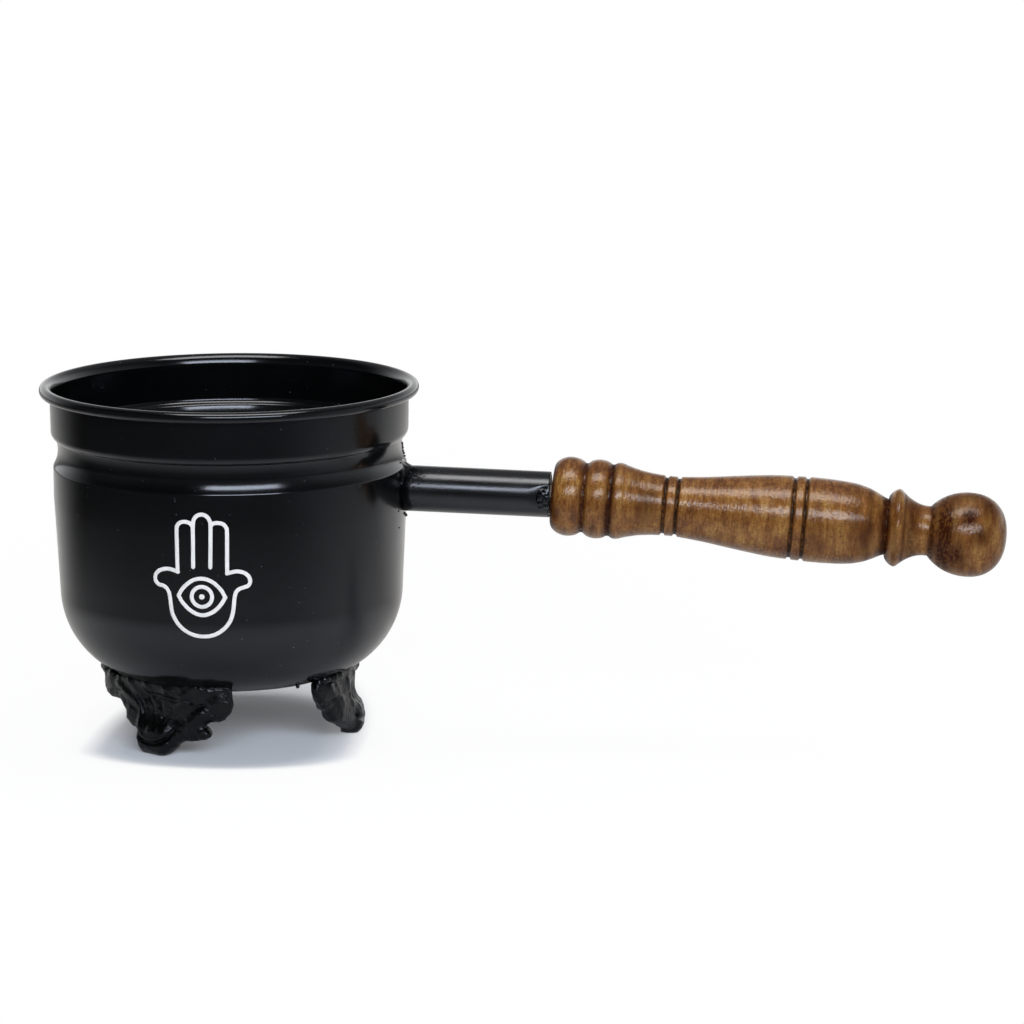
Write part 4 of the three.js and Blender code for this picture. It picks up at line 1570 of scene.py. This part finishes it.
    def spatter(self) -> Shape:
        """Drops that the weld threw on the pot's wall and on the tube: slightly flattened balls, half in the
        steel.

        Returns:
            All the drops' points and faces.
        """
        turn, height, size = np.array(self.wall_spatter).T
        angle, radius = np.radians(turn), self.pot.wall_radius(height)
        on_wall = np.stack([self.pot.axis_x + radius * np.cos(angle), radius * np.sin(angle), height], 1)
        along, turn, small = np.array(self.tube_spatter).T
        angle = np.radians(180 - turn)
        on_tube = self.place(np.stack([along, self.radius * np.cos(angle), self.radius * np.sin(angle)], 1))
        places, sizes = np.vstack([on_wall, on_tube]), np.concatenate([size, small])
        ball, faces = turned(arc((0, 0), (1, self.drop_height), -90, 90, steps=8), sides=14)
        return joined([(place + ball * size, faces) for place, size in zip(places, sizes)])

    def build(self) -> list[bpy.types.Object]:
        """Makes the tube, its weld to the pot with the spatter round it, and the plug.

        Returns:
            The four pieces.
        """
        return [
            make_piece("weld_spatter", self.spatter(), self.weld_paint),
            make_piece("stem", self.tube(), self.paint, ("stem_tube",)),
            make_piece("stem_bead", self.bead(), self.weld_paint, ("stem_weld",)),
            make_piece("stud_plug", self.plug(), self.weld_paint, ("stud_plug_weld",)),
        ]


# Handle


@dataclass
class Handle:
    """The turned wooden handle: three beads, a long grip with burned grooves, a collar, a neck and a ball."""

    stem: Stem
    face_radius: float = 7.6
    bore_radius: float = 4.1
    bore_depth: float = 45.0
    bore_margin: float = 0.1
    bead_radius: float = 11.12
    bead_lengths: tuple[float, float, float] = (9.0, 7.4, 3.4)
    crest_share: float = 0.53
    third_drop: float = 0.4
    third_foot: float = 10.4
    valley_depths: tuple[float, float] = (2.3, 1.9)
    valley_ease: float = 0.7
    grip_length: float = 73.8
    grip_radius: float = 11.83
    # Shares of the grip's length and of its radius.
    grip_shape: Pairs = (
        (0.0, 0.879), (0.023, 0.836), (0.046, 0.8), (0.069, 0.768), (0.114, 0.73), (0.16, 0.712),
        (0.215, 0.714), (0.318, 0.775), (0.421, 0.86), (0.557, 0.961), (0.66, 0.992), (0.734, 1.0),
        (0.81, 0.988), (0.875, 0.95), (0.921, 0.88), (0.95, 0.806), (0.97, 0.745), (0.985, 0.695),
        (1.0, 0.659),
    )
    burn_width: float = 1.3
    burn_depth: float = 0.62
    burn_pitch: float = 3.5
    burn_starts: tuple[float, float] = (11.8, 47.5)
    burn_reach: float = 0.62
    # How far past the third bead's start its burned line lies, its width, and its depth.
    scorch: tuple[float, float, float] = (0.25, 0.3, 0.85)
    # How far each place of the collar's curve lies inside its radius, and how far along.
    collar_shape: Pairs = (
        (3.05, 0.0), (2.05, 0.3), (1.1, 1.0), (0.45, 1.8), (0.08, 2.6), (0.0, 3.1), (0.2, 3.5),
    )
    collar_rise: float = 3.4
    collar_radius: float = 10.85
    cove_length: float = 8.0
    cove_ease: float = 2.1
    neck_length: float = 0.6
    neck_radius: float = 6.95
    ball_radius: float = 11.75
    ball_back: float = 10.7
    ball_tip: float = 10.8
    ball_fullness: float = 2.3
    # Darker bands that go right round: place along the handle, width, and depth.
    rings: Triples = (
        (88.8, 1.2, 0.5), (93.2, 1.3, 1.3), (96.0, 0.7, 0.45), (98.4, 0.5, 0.7), (100.6, 2.0, 0.65),
        (106.2, 1.1, 0.9),
    )
    # Patches of stain: place along, degrees round from the front, length, spread and depth.
    stains: tuple[tuple[float, float, float, float, float], ...] = (
        (27.0, 12, 3.4, 45, 0.6), (23.5, 60, 2.4, 30, 0.35), (84.5, 20, 1.6, 60, 0.45),
        (109.5, 5, 3.2, 110, 1.05), (116.0, 36, 2.2, 16, 1.15), (119.5, 12, 2.6, 16, 0.8),
        (113.0, -22, 3.2, 26, 1.0), (121.5, 62, 3.2, 30, 0.75), (117.0, 84, 5.0, 26, 0.7),
        (74.0, -8, 3.0, 40, 0.3), (88.0, -14, 2.2, 34, 0.6), (112.0, 80, 3.0, 40, 0.55),
        (60.0, 150, 9.0, 30, 0.4), (40.0, 200, 8.0, 40, 0.35), (76.0, 245, 7.0, 30, 0.4),
        (116.0, 190, 4.0, 40, 0.5),
    )
    sides: int = 144

    def frame(self) -> Matrix:
        """The handle's own frame, in millimetres: X runs down its axis from the face at the stem."""
        sag = Matrix.Rotation(math.radians(self.stem.sag), 4, "Y")
        return self.stem.frame() @ Matrix.Translation((self.stem.length, 0, 0)) @ sag

    def grip_start(self) -> float:
        """How far along the handle its grip starts."""
        return sum(self.bead_lengths)

    def burns(self) -> list[float]:
        """How far along the grip each burned groove lies: two pairs."""
        return [start + step for start in self.burn_starts for step in (0, self.burn_pitch)]

    def grip(self) -> np.ndarray:
        """The grip, with each burned groove a round-bottomed dip.

        Returns:
            Its radii and places along the handle.
        """
        path = smooth_run(self.grip_shape, steps=20) * [self.grip_length, self.grip_radius]
        x = np.linspace(0, self.grip_length, num=360)
        radius = np.interp(x, path[:, 0], path[:, 1])
        for burn in self.burns():
            share = np.clip(np.abs(x - burn) / (self.burn_width / 2), 0, 1)
            radius -= self.burn_depth * np.sqrt(1 - share**2) * (share < 1)
        return np.stack([radius, x + self.grip_start()], 1)

    def beads(self) -> np.ndarray:
        """The three beads: each a pair of quarter ellipses, the first with a fuller front edge and the third
        lower. Past the first one's middle the radius is the mean over a short length, which rounds the
        valleys.

        Returns:
            Their radii and places along the handle.
        """
        first, second, third = self.bead_lengths
        peak, small = self.bead_radius, self.bead_radius - self.third_drop
        dip, low = peak - self.valley_depths[0], peak - self.valley_depths[1]
        crest = first * self.crest_share
        second_crest, third_crest = first + second / 2, first + second + third / 2
        runs = np.vstack([
            arc((self.face_radius, crest), (peak - self.face_radius, crest), -90, 0, steps=28),
            arc((dip, crest), (peak - dip, first - crest), 0, 90, steps=24)[1:],
            arc((dip, second_crest), (peak - dip, second / 2), -90, 0, steps=24)[1:],
            arc((low, second_crest), (peak - low, second / 2), 0, 90, steps=24)[1:],
            arc((low, third_crest), (small - low, third / 2), -90, 0, steps=16)[1:],
            arc((self.third_foot, third_crest), (small - self.third_foot, third / 2), 0, 90, steps=12)[1:],
        ])
        ease = np.linspace(-self.valley_ease, self.valley_ease, num=15)
        x = np.linspace(crest, self.grip_start(), num=150)[1:]
        radius = np.interp(x[:, None] + ease, runs[:, 1], runs[:, 0]).mean(1)
        return np.vstack([runs[runs[:, 1] <= crest], np.stack([radius, x], 1)])

    def ending(self) -> np.ndarray:
        """The collar, the cove that falls from it to the neck by a power of what is left, and the ball: part
        of an ellipse behind its middle, and a fuller round, with a power above two, ahead of it.

        Returns:
            Their radii and places along the handle.
        """
        start = self.grip_start() + self.grip_length
        top = self.collar_radius
        curve = tuple((top - fall, start + along) for fall, along in self.collar_shape)
        collar = smooth_run(curve, steps=6)[1:]
        share = np.linspace(0.05, 1, num=24)
        cove_start = start + self.collar_rise
        drop = (top - self.neck_radius) * (1 - share) ** self.cove_ease
        cove = np.stack([self.neck_radius + drop, cove_start + share * self.cove_length], 1)
        middle = cove_start + self.cove_length + self.neck_length + self.ball_back
        stretch = self.ball_back / math.sqrt(1 - (self.neck_radius / self.ball_radius) ** 2)
        back = np.linspace(self.ball_back, 0, num=28)
        behind = np.stack([self.ball_radius * np.sqrt(1 - (back / stretch) ** 2), middle - back], 1)
        share = np.sin(np.linspace(0, np.pi / 2, num=40)[1:])
        left = np.clip(1 - share**self.ball_fullness, 0, None)
        round_ = self.ball_radius * left ** (1 / self.ball_fullness)
        ahead = np.stack([round_, middle + share * self.ball_tip], 1)
        return np.vstack([collar, cove, behind, ahead])

    def char(self, x: np.ndarray) -> np.ndarray:
        """How burned the wood is: full in the grooves, a flat-topped bell across each, and a line where the
        third bead starts.

        Args:
            x: places along the handle.

        Returns:
            The shares of burning, from 0 to 1.
        """
        from_grip = x - self.grip_start()
        marks = [bell(np.abs(from_grip - burn), self.burn_reach, 4) for burn in self.burns()]
        place, width, depth = self.scorch
        seam = self.bead_lengths[0] + self.bead_lengths[1] + place
        return np.max([*marks, depth * bell(x - seam, width)], axis=0)

    def stain(self, own: np.ndarray) -> np.ndarray:
        """How much darker the wood is made: a bell over each marked place, and right round in the valleys and
        the listed bands.

        Args:
            own: points in the handle's own frame.

        Returns:
            The shares of darkening, which pass 1 where it is quite black.
        """
        x = own[:, 0]
        turn = np.degrees(np.arctan2(own[:, 2], -own[:, 1]))
        first, second, _ = self.bead_lengths
        # Darker right round at the edge of the face, and in the two valleys beside the middle bead.
        valleys = ((0.3, 0.8, 0.9), (first, 1.0, 1.0), (first + second, 1.2, 1.1)) + self.rings
        marks = [np.zeros(len(x))] + [depth * bell(x - place, width) for place, width, depth in valleys]
        for place, around, length, spread, depth in self.stains:
            off = (turn - around + 180) % 360 - 180
            marks.append(depth * bell(x - place, length) * bell(off, spread))
        return np.max(marks, axis=0)

    def build(self, wood: TurnedWood) -> bpy.types.Object:
        """Turns the profile, bore and all, and marks where the wood is burned and darkened.

        Args:
            wood: what the handle is dressed in.

        Returns:
            The handle.
        """
        bore = [[0, self.bore_depth], [self.bore_radius, self.bore_depth], [self.bore_radius, 0.0]]
        profile = np.vstack([bore, self.beads(), self.grip()[1:], self.ending()])
        profile[-1, 0] = 0
        points, faces = turned(profile, self.sides)
        own = points[:, [2, 0, 1]]
        outside = np.hypot(own[:, 1], own[:, 2]) > self.bore_radius + self.bore_margin
        char, stain = self.char(own[:, 0]) * outside, self.stain(own) * outside
        shape = moved(own, self.frame()), faces
        return make_piece("handle", shape, wood, ("handle_grip",), char=char, stain=stain)


# Studio


class LampUse(Enum):
    """What a lamp is for: the sheen it draws on gloss, or the light it throws on dull surfaces."""

    SHEEN = "sheen"
    LIGHT = "light"


@dataclass(frozen=True)
class Lamp:
    """A soft rectangular lamp. It hangs by its degrees to the right of the camera's direction and above the
    table and its distance in metres, and its level is how bright its face is against white paper."""

    use: LampUse
    name: str
    turn: float
    rise: float
    away: float
    size: tuple[float, float]
    level: float
    colour: str


@dataclass
class Studio:
    """The white table, the soft lamps above and in front, the surround and the camera."""

    # The view was fitted to the photograph. Places here are in metres, turns in degrees.
    camera_place: tuple[float, float, float] = (0.096473, -1.0883, 0.2811)
    camera_turn: float = 5.2
    camera_dip: float = 11.21
    focal: float = 3962.5
    frame_pixels: float = 1024.0
    film: float = 36.0
    table_size: float = 6.0
    table_drop: float = 0.05
    aim_height: float = 0.06
    pot_x: float = 0.0
    # The camera's paper near the pot: brighter than white and bluish, so lit paper clips to white and its
    # shadow is painted blue.
    near_paper_painted_blue_shade: tuple[float, float, float, float] = (0.96, 1.03, 1.14, 1.0)
    plain_paper: float = 0.75
    # Gloss sees dimmer paper out to these distances, by its place before and behind the pot.
    mirror_reach: tuple[float, float] = (0.12, 0.36)
    mirror_depth: Pairs = ((-0.16, 0.52), (0.06, 0.85))
    # The clean white's oval: its shift to the front, and how depth counts behind and before.
    oval_shift: float = 0.02
    oval_behind: float = 0.35
    oval_before: tuple[float, float] = (-2.0, -0.0125)
    # How far the ramp to clean white reaches, and its places and levels.
    fade_span: float = 0.2
    fade: Pairs = ((0.13, 0.1), (0.165, 0.26), (0.2, 0.93), (0.25, 0.96), (0.6, 0.97), (1.0, 1.0))
    fill: tuple[float, float, float, float] = (0.98, 0.99, 1.0, 1.0)
    fill_strength: float = 0.12
    # Heights of the room, and the share of its brightness there.
    room_heights: Pairs = ((0.1, 1.0), (0.5, 0.22))
    # Use, name, turn, rise, distance, size, level and colour of each.
    lamps: tuple[Lamp, ...] = (
        Lamp(LampUse.SHEEN, "overhead_sheen", 0, 77, 0.9, (0.8, 0.34), 6.0, "#fffaf2"),
        Lamp(LampUse.SHEEN, "front_sheen", 7.5, 27.5, 0.95, (0.78, 0.20), 9.0, "#f2f7ff"),
        Lamp(LampUse.LIGHT, "overhead_light", 0, 97, 0.9, (0.8, 0.34), 5.9, "#fffaf2"),
        Lamp(LampUse.LIGHT, "front_light", 7.5, 28, 0.95, (0.85, 0.30), 7.8, "#f2f7ff"),
    )
    # Degrees from the camera's direction, and how bright gloss sees the room there.
    room: Pairs = (
        (-180, 1.1), (-157, 1.2), (-143, 1.1), (-135, 0.95), (-129, 0.8), (-123, 0.57), (-117, 0.38),
        (-112, 0.22), (-106, 0.11), (-99, 0.055), (-92, 0.085), (-72, 0.10), (-30, 0.09), (10, 0.085),
        (28, 0.085), (40, 0.13), (51, 0.21), (63, 0.32), (76, 0.41), (98, 0.49), (106, 0.54), (111, 0.69),
        (118, 0.88), (130, 1.02), (142, 1.14), (160, 1.2),
    )

    def table(self) -> bpy.types.Object:
        """A wide white sheet that the feet stand on.

        Returns:
            The table.
        """
        half = self.table_size / 2
        mesh = bpy.data.meshes.new("table")
        corners = [(-half, -half, 0), (half, -half, 0), (half, half, 0), (-half, half, 0)]
        mesh.from_pydata(corners, [], [(0, 1, 2, 3)])
        table = show("table", mesh)
        table.location.z = -self.table_drop * MM
        mesh.materials.append(self.paper())
        return table

    def paper(self) -> bpy.types.Material:
        """Smooth white paper. The camera sees the shadow near the pot and clean white beyond it, gloss sees
        the dark and light of the room in it, and from below it is clear, so that the censer's underside
        shows.

        Returns:
            The material.
        """
        made = bpy.data.materials.new("White paper sweep")
        tree = empty_tree(made)
        rays = add_node(tree, "LightPath").outputs
        place = add_node(tree, "Mapping", {
            "Vector": add_node(tree, "TexCoord").outputs["Object"], "Location": (-self.pot_x, 0.0, 0.0),
        }).outputs[0]
        # Near the pot the camera sees the over-bright bluish paper, whose shadow is painted blue; beyond the
        # oval, plain white glows.
        lit = add_node(tree, "MixShader", {
            0: self.whitening(tree, place),
            1: add_node(tree, "BsdfDiffuse", {"Color": self.near_paper_painted_blue_shade}),
            2: add_node(tree, "Emission", {"Color": grey(1.0), "Strength": 1.0}),
        })
        other = add_node(tree, "MixShader", {
            0: rays["Is Glossy Ray"],
            1: add_node(tree, "BsdfDiffuse", {"Color": grey(self.plain_paper)}),
            2: add_node(tree, "BsdfDiffuse", {"Color": self.mirrored_paper(tree, place)}),
        })
        both = add_node(tree, "MixShader", {0: rays["Is Camera Ray"], 1: other, 2: lit})
        under = add_node(tree, "NewGeometry").outputs["Backfacing"]
        seen = add_node(tree, "MixShader", {0: under, 1: both, 2: add_node(tree, "BsdfTransparent")})
        add_node(tree, "OutputMaterial", {"Surface": seen})
        return made

    def mirrored_paper(self, tree: bpy.types.NodeTree, place: bpy.types.NodeSocket) -> bpy.types.NodeSocket:
        """How bright the paper is as gloss sees it: dim near the pot and more so before it, and as the room
        is far off.

        Args:
            tree: the paper's nodes.
            place: places on the paper, from the pot's axis.

        Returns:
            The brightness.
        """
        away = add_node(tree, "VectorMath", {0: place}, operation="LENGTH").outputs["Value"]
        near, far = self.mirror_reach
        close_by = add_node(tree, "MapRange", {
            "Value": away, "From Min": near, "From Max": far, "To Min": 1.0, "To Max": 0.0,
        })
        squared = add_node(tree, "Math", {0: close_by, 1: 2.0}, operation="POWER")
        depth = add_node(tree, "SeparateXYZ", {0: place}).outputs["Y"]
        (front, dim), (back, light) = self.mirror_depth
        level = add_node(tree, "MapRange", {
            "Value": depth, "From Min": front, "From Max": back, "To Min": dim, "To Max": light,
        })
        shown = add_node(tree, "Mix", {
            "Factor": squared, MIX_A: self.room_levels(tree, place), MIX_B: level,
        }, data_type="RGBA")
        return shown.outputs[MIXED]

    def whitening(self, tree: bpy.types.NodeTree, place: bpy.types.NodeSocket) -> bpy.types.NodeSocket:
        """How far the camera sees clean white in place of the paper: a ramp over the distance from the pot,
        in an oval that reaches far behind the pot and ends soon before it, where the photograph's shadow
        ends.

        Args:
            tree: the paper's nodes.
            place: places on the paper, from the pot's axis.

        Returns:
            The share of white.
        """
        parts = add_node(tree, "SeparateXYZ", {0: place}).outputs
        ahead = add_node(tree, "Math", {0: parts["Y"], 1: self.oval_shift}, operation="ADD").outputs[0]
        behind = add_node(tree, "Math", {0: ahead, 1: self.oval_behind}, operation="MULTIPLY")
        stretch, offset = self.oval_before
        before = add_node(tree, "Math", {0: ahead, 1: stretch, 2: offset}, operation="MULTIPLY_ADD")
        deep = add_node(tree, "Math", {0: behind, 1: before}, operation="MAXIMUM")
        oval = add_node(tree, "CombineXYZ", {0: parts["X"], 1: deep})
        reach = add_node(tree, "VectorMath", {0: oval}, operation="LENGTH").outputs["Value"]
        share = add_node(tree, "Math", {0: reach, 1: 1 / self.fade_span}, operation="MULTIPLY")
        stops = [(at, grey(level)) for at, level in self.fade]
        return set_stops(add_node(tree, "ValToRGB", {"Fac": share}), stops)

    def surround(self) -> None:
        """White behind for the camera, an even fill, and for gloss a room dark in front and light behind."""
        world = bpy.data.worlds.new("Studio surround")
        bpy.context.scene.world = world
        tree = empty_tree(world)
        rays = add_node(tree, "LightPath").outputs
        way = add_node(tree, "TexCoord").outputs["Generated"]
        (low, full), (high, dim) = self.room_heights
        height = add_node(tree, "MapRange", {
            "Value": add_node(tree, "SeparateXYZ", {0: way}).outputs["Z"],
            "From Min": low, "From Max": high, "To Min": full, "To Max": dim,
        })
        soft = add_node(tree, "MixShader", {
            0: rays["Is Glossy Ray"],
            1: add_node(tree, "Background", {"Color": self.fill, "Strength": self.fill_strength}),
            2: add_node(tree, "Background", {"Color": self.room_levels(tree, way), "Strength": height}),
        })
        white = add_node(tree, "Background", {"Color": grey(1.0), "Strength": 1.0})
        shown = add_node(tree, "MixShader", {0: rays["Is Camera Ray"], 1: soft, 2: white})
        add_node(tree, "OutputWorld", {"Surface": shown})

    def room_levels(self, tree: bpy.types.NodeTree, way: bpy.types.NodeSocket) -> bpy.types.NodeSocket:
        """How bright the room is in each direction as gloss sees it: a ramp over the share of a turn from the
        back.

        Args:
            tree: where the nodes go.
            way: direction, or place about the pot.

        Returns:
            The brightness.
        """
        parts = add_node(tree, "SeparateXYZ", {0: way}).outputs
        turn = add_node(tree, "Math", {0: parts["X"], 1: parts["Y"]}, operation="ARCTAN2")
        share = add_node(tree, "Math", {0: turn, 1: -0.5 / math.pi, 2: 1.0}, operation="MULTIPLY_ADD")
        wrapped = add_node(tree, "Math", {0: share}, operation="FRACT")
        stops = [
            ((degrees + self.camera_turn + 180) % 360 / 360, grey(level)) for degrees, level in self.room
        ]
        return set_stops(add_node(tree, "ValToRGB", {"Fac": wrapped}), sorted(stops))

    def lamp(self, lamp: Lamp) -> None:
        """Hangs a soft lamp and turns it to the object.

        Args:
            lamp: what it is like and where it hangs.
        """
        data = bpy.data.lights.new(lamp.name, "AREA")
        data.shape = "RECTANGLE"
        data.size, data.size_y = lamp.size
        data.energy = lamp.level * math.pi * lamp.size[0] * lamp.size[1]
        data.color = srgb(lamp.colour)[:3]
        made = show(lamp.name, data)
        bearing, lift = math.radians(lamp.turn + self.camera_turn), math.radians(lamp.rise)
        flat = math.cos(lift)
        way = Vector((math.sin(bearing) * flat, -math.cos(bearing) * flat, math.sin(lift)))
        made.location = way * lamp.away + Vector((0, 0, self.aim_height))
        made.rotation_euler = way.to_track_quat("Z", "Y").to_euler()
        made.visible_glossy = lamp.use is LampUse.SHEEN
        made.visible_diffuse = lamp.use is LampUse.LIGHT

    def camera(self) -> None:
        """The photograph's view: from the front, a little to the right and above."""
        data = bpy.data.cameras.new("camera")
        data.sensor_width = self.film
        data.lens = self.focal / self.frame_pixels * self.film
        camera = show("camera", data)
        camera.location = self.camera_place
        camera.rotation_euler = (math.radians(90 - self.camera_dip), 0, math.radians(self.camera_turn))
        bpy.context.scene.camera = camera

    def build(self) -> None:
        """Sets the table, the surround, the lamps and the camera."""
        self.table()
        self.surround()
        for lamp in self.lamps:
            self.lamp(lamp)
        self.camera()
        bpy.context.scene.view_settings.view_transform = "Standard"


def main() -> None:
    """Builds the censer from the pot outwards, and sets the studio."""
    logging.basicConfig(level=logging.INFO, format="%(message)s")
    low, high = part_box("pot_shell")
    axis_x = (low.x + high.x) / 2 / MM
    pot = Pot(BlackPaint("Black stoved enamel", "pot_paint"), axis_x)
    pot.build()
    HandPrint(PrintInk("White screen ink", "print_ink"), pot).build()
    # Thick paint over the castings: broad soft ripples, and fine grain that breaks its shine into points.
    cast_paint = BlackPaint(
        "Thick black enamel over iron casting", "foot_paint", colour="#040505", roughness=0.23, ior=1.45,
        ripple=0.5, ripple_height=0.15, grain_height=0.075,
    )
    # Paint that ran together in the corners round the feet: as black, smoother, and without dust.
    pooled_paint = BlackPaint(
        "Black enamel pooled round the feet", "weld_paint", colour="#040505", roughness=0.24, ior=1.45,
        ripple=0.5, ripple_height=0.1, dust=0.0,
    )
    feet = (
        ("handle", 3, 0, HANDLE_LEFT_EDGE, HANDLE_RIBS, 3, 32.0),
        ("rear", 121, 2, HANDLE_LEFT_EDGE, FRONT_RIBS, 11, 32.0),
        ("front", -122, -6, FRONT_LEFT_EDGE, FRONT_RIBS, 23, 44.0),
    )
    for name, turn, lean, left_edge, ribs, seed, left_bend in feet:
        CastFoot(cast_paint, pooled_paint, pot, name, turn, lean, left_edge, ribs, seed, left_bend).build()
    # The same enamel on drawn tube: duller than on the pot, with the tube's own fine grain under it.
    stem_paint = BlackPaint(
        "Black enamel on drawn tube", "stem_paint", roughness=0.22, ior=1.7,
        ripple=0.4, ripple_height=0.02, grain_height=0.016,
    )
    weld_paint = BlackPaint("Thick black enamel over weld", "weld_paint", roughness=0.16, dust=0.0)
    stem = Stem(stem_paint, weld_paint, pot)
    stem.build()
    handle = Handle(stem)
    origin, slope = tuple(handle.frame().translation), math.radians(stem.slope + stem.sag)
    handle.build(TurnedWood("Varnished turned hardwood", "handle_wood", origin, slope))
    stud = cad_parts["handle_stud"]
    stud.data.materials.clear()
    stud.data.materials.append(MildSteel("Bare mild steel", "stud_steel").material())
    Studio(pot_x=axis_x * MM).build()


if __name__ == "__main__":
    main()
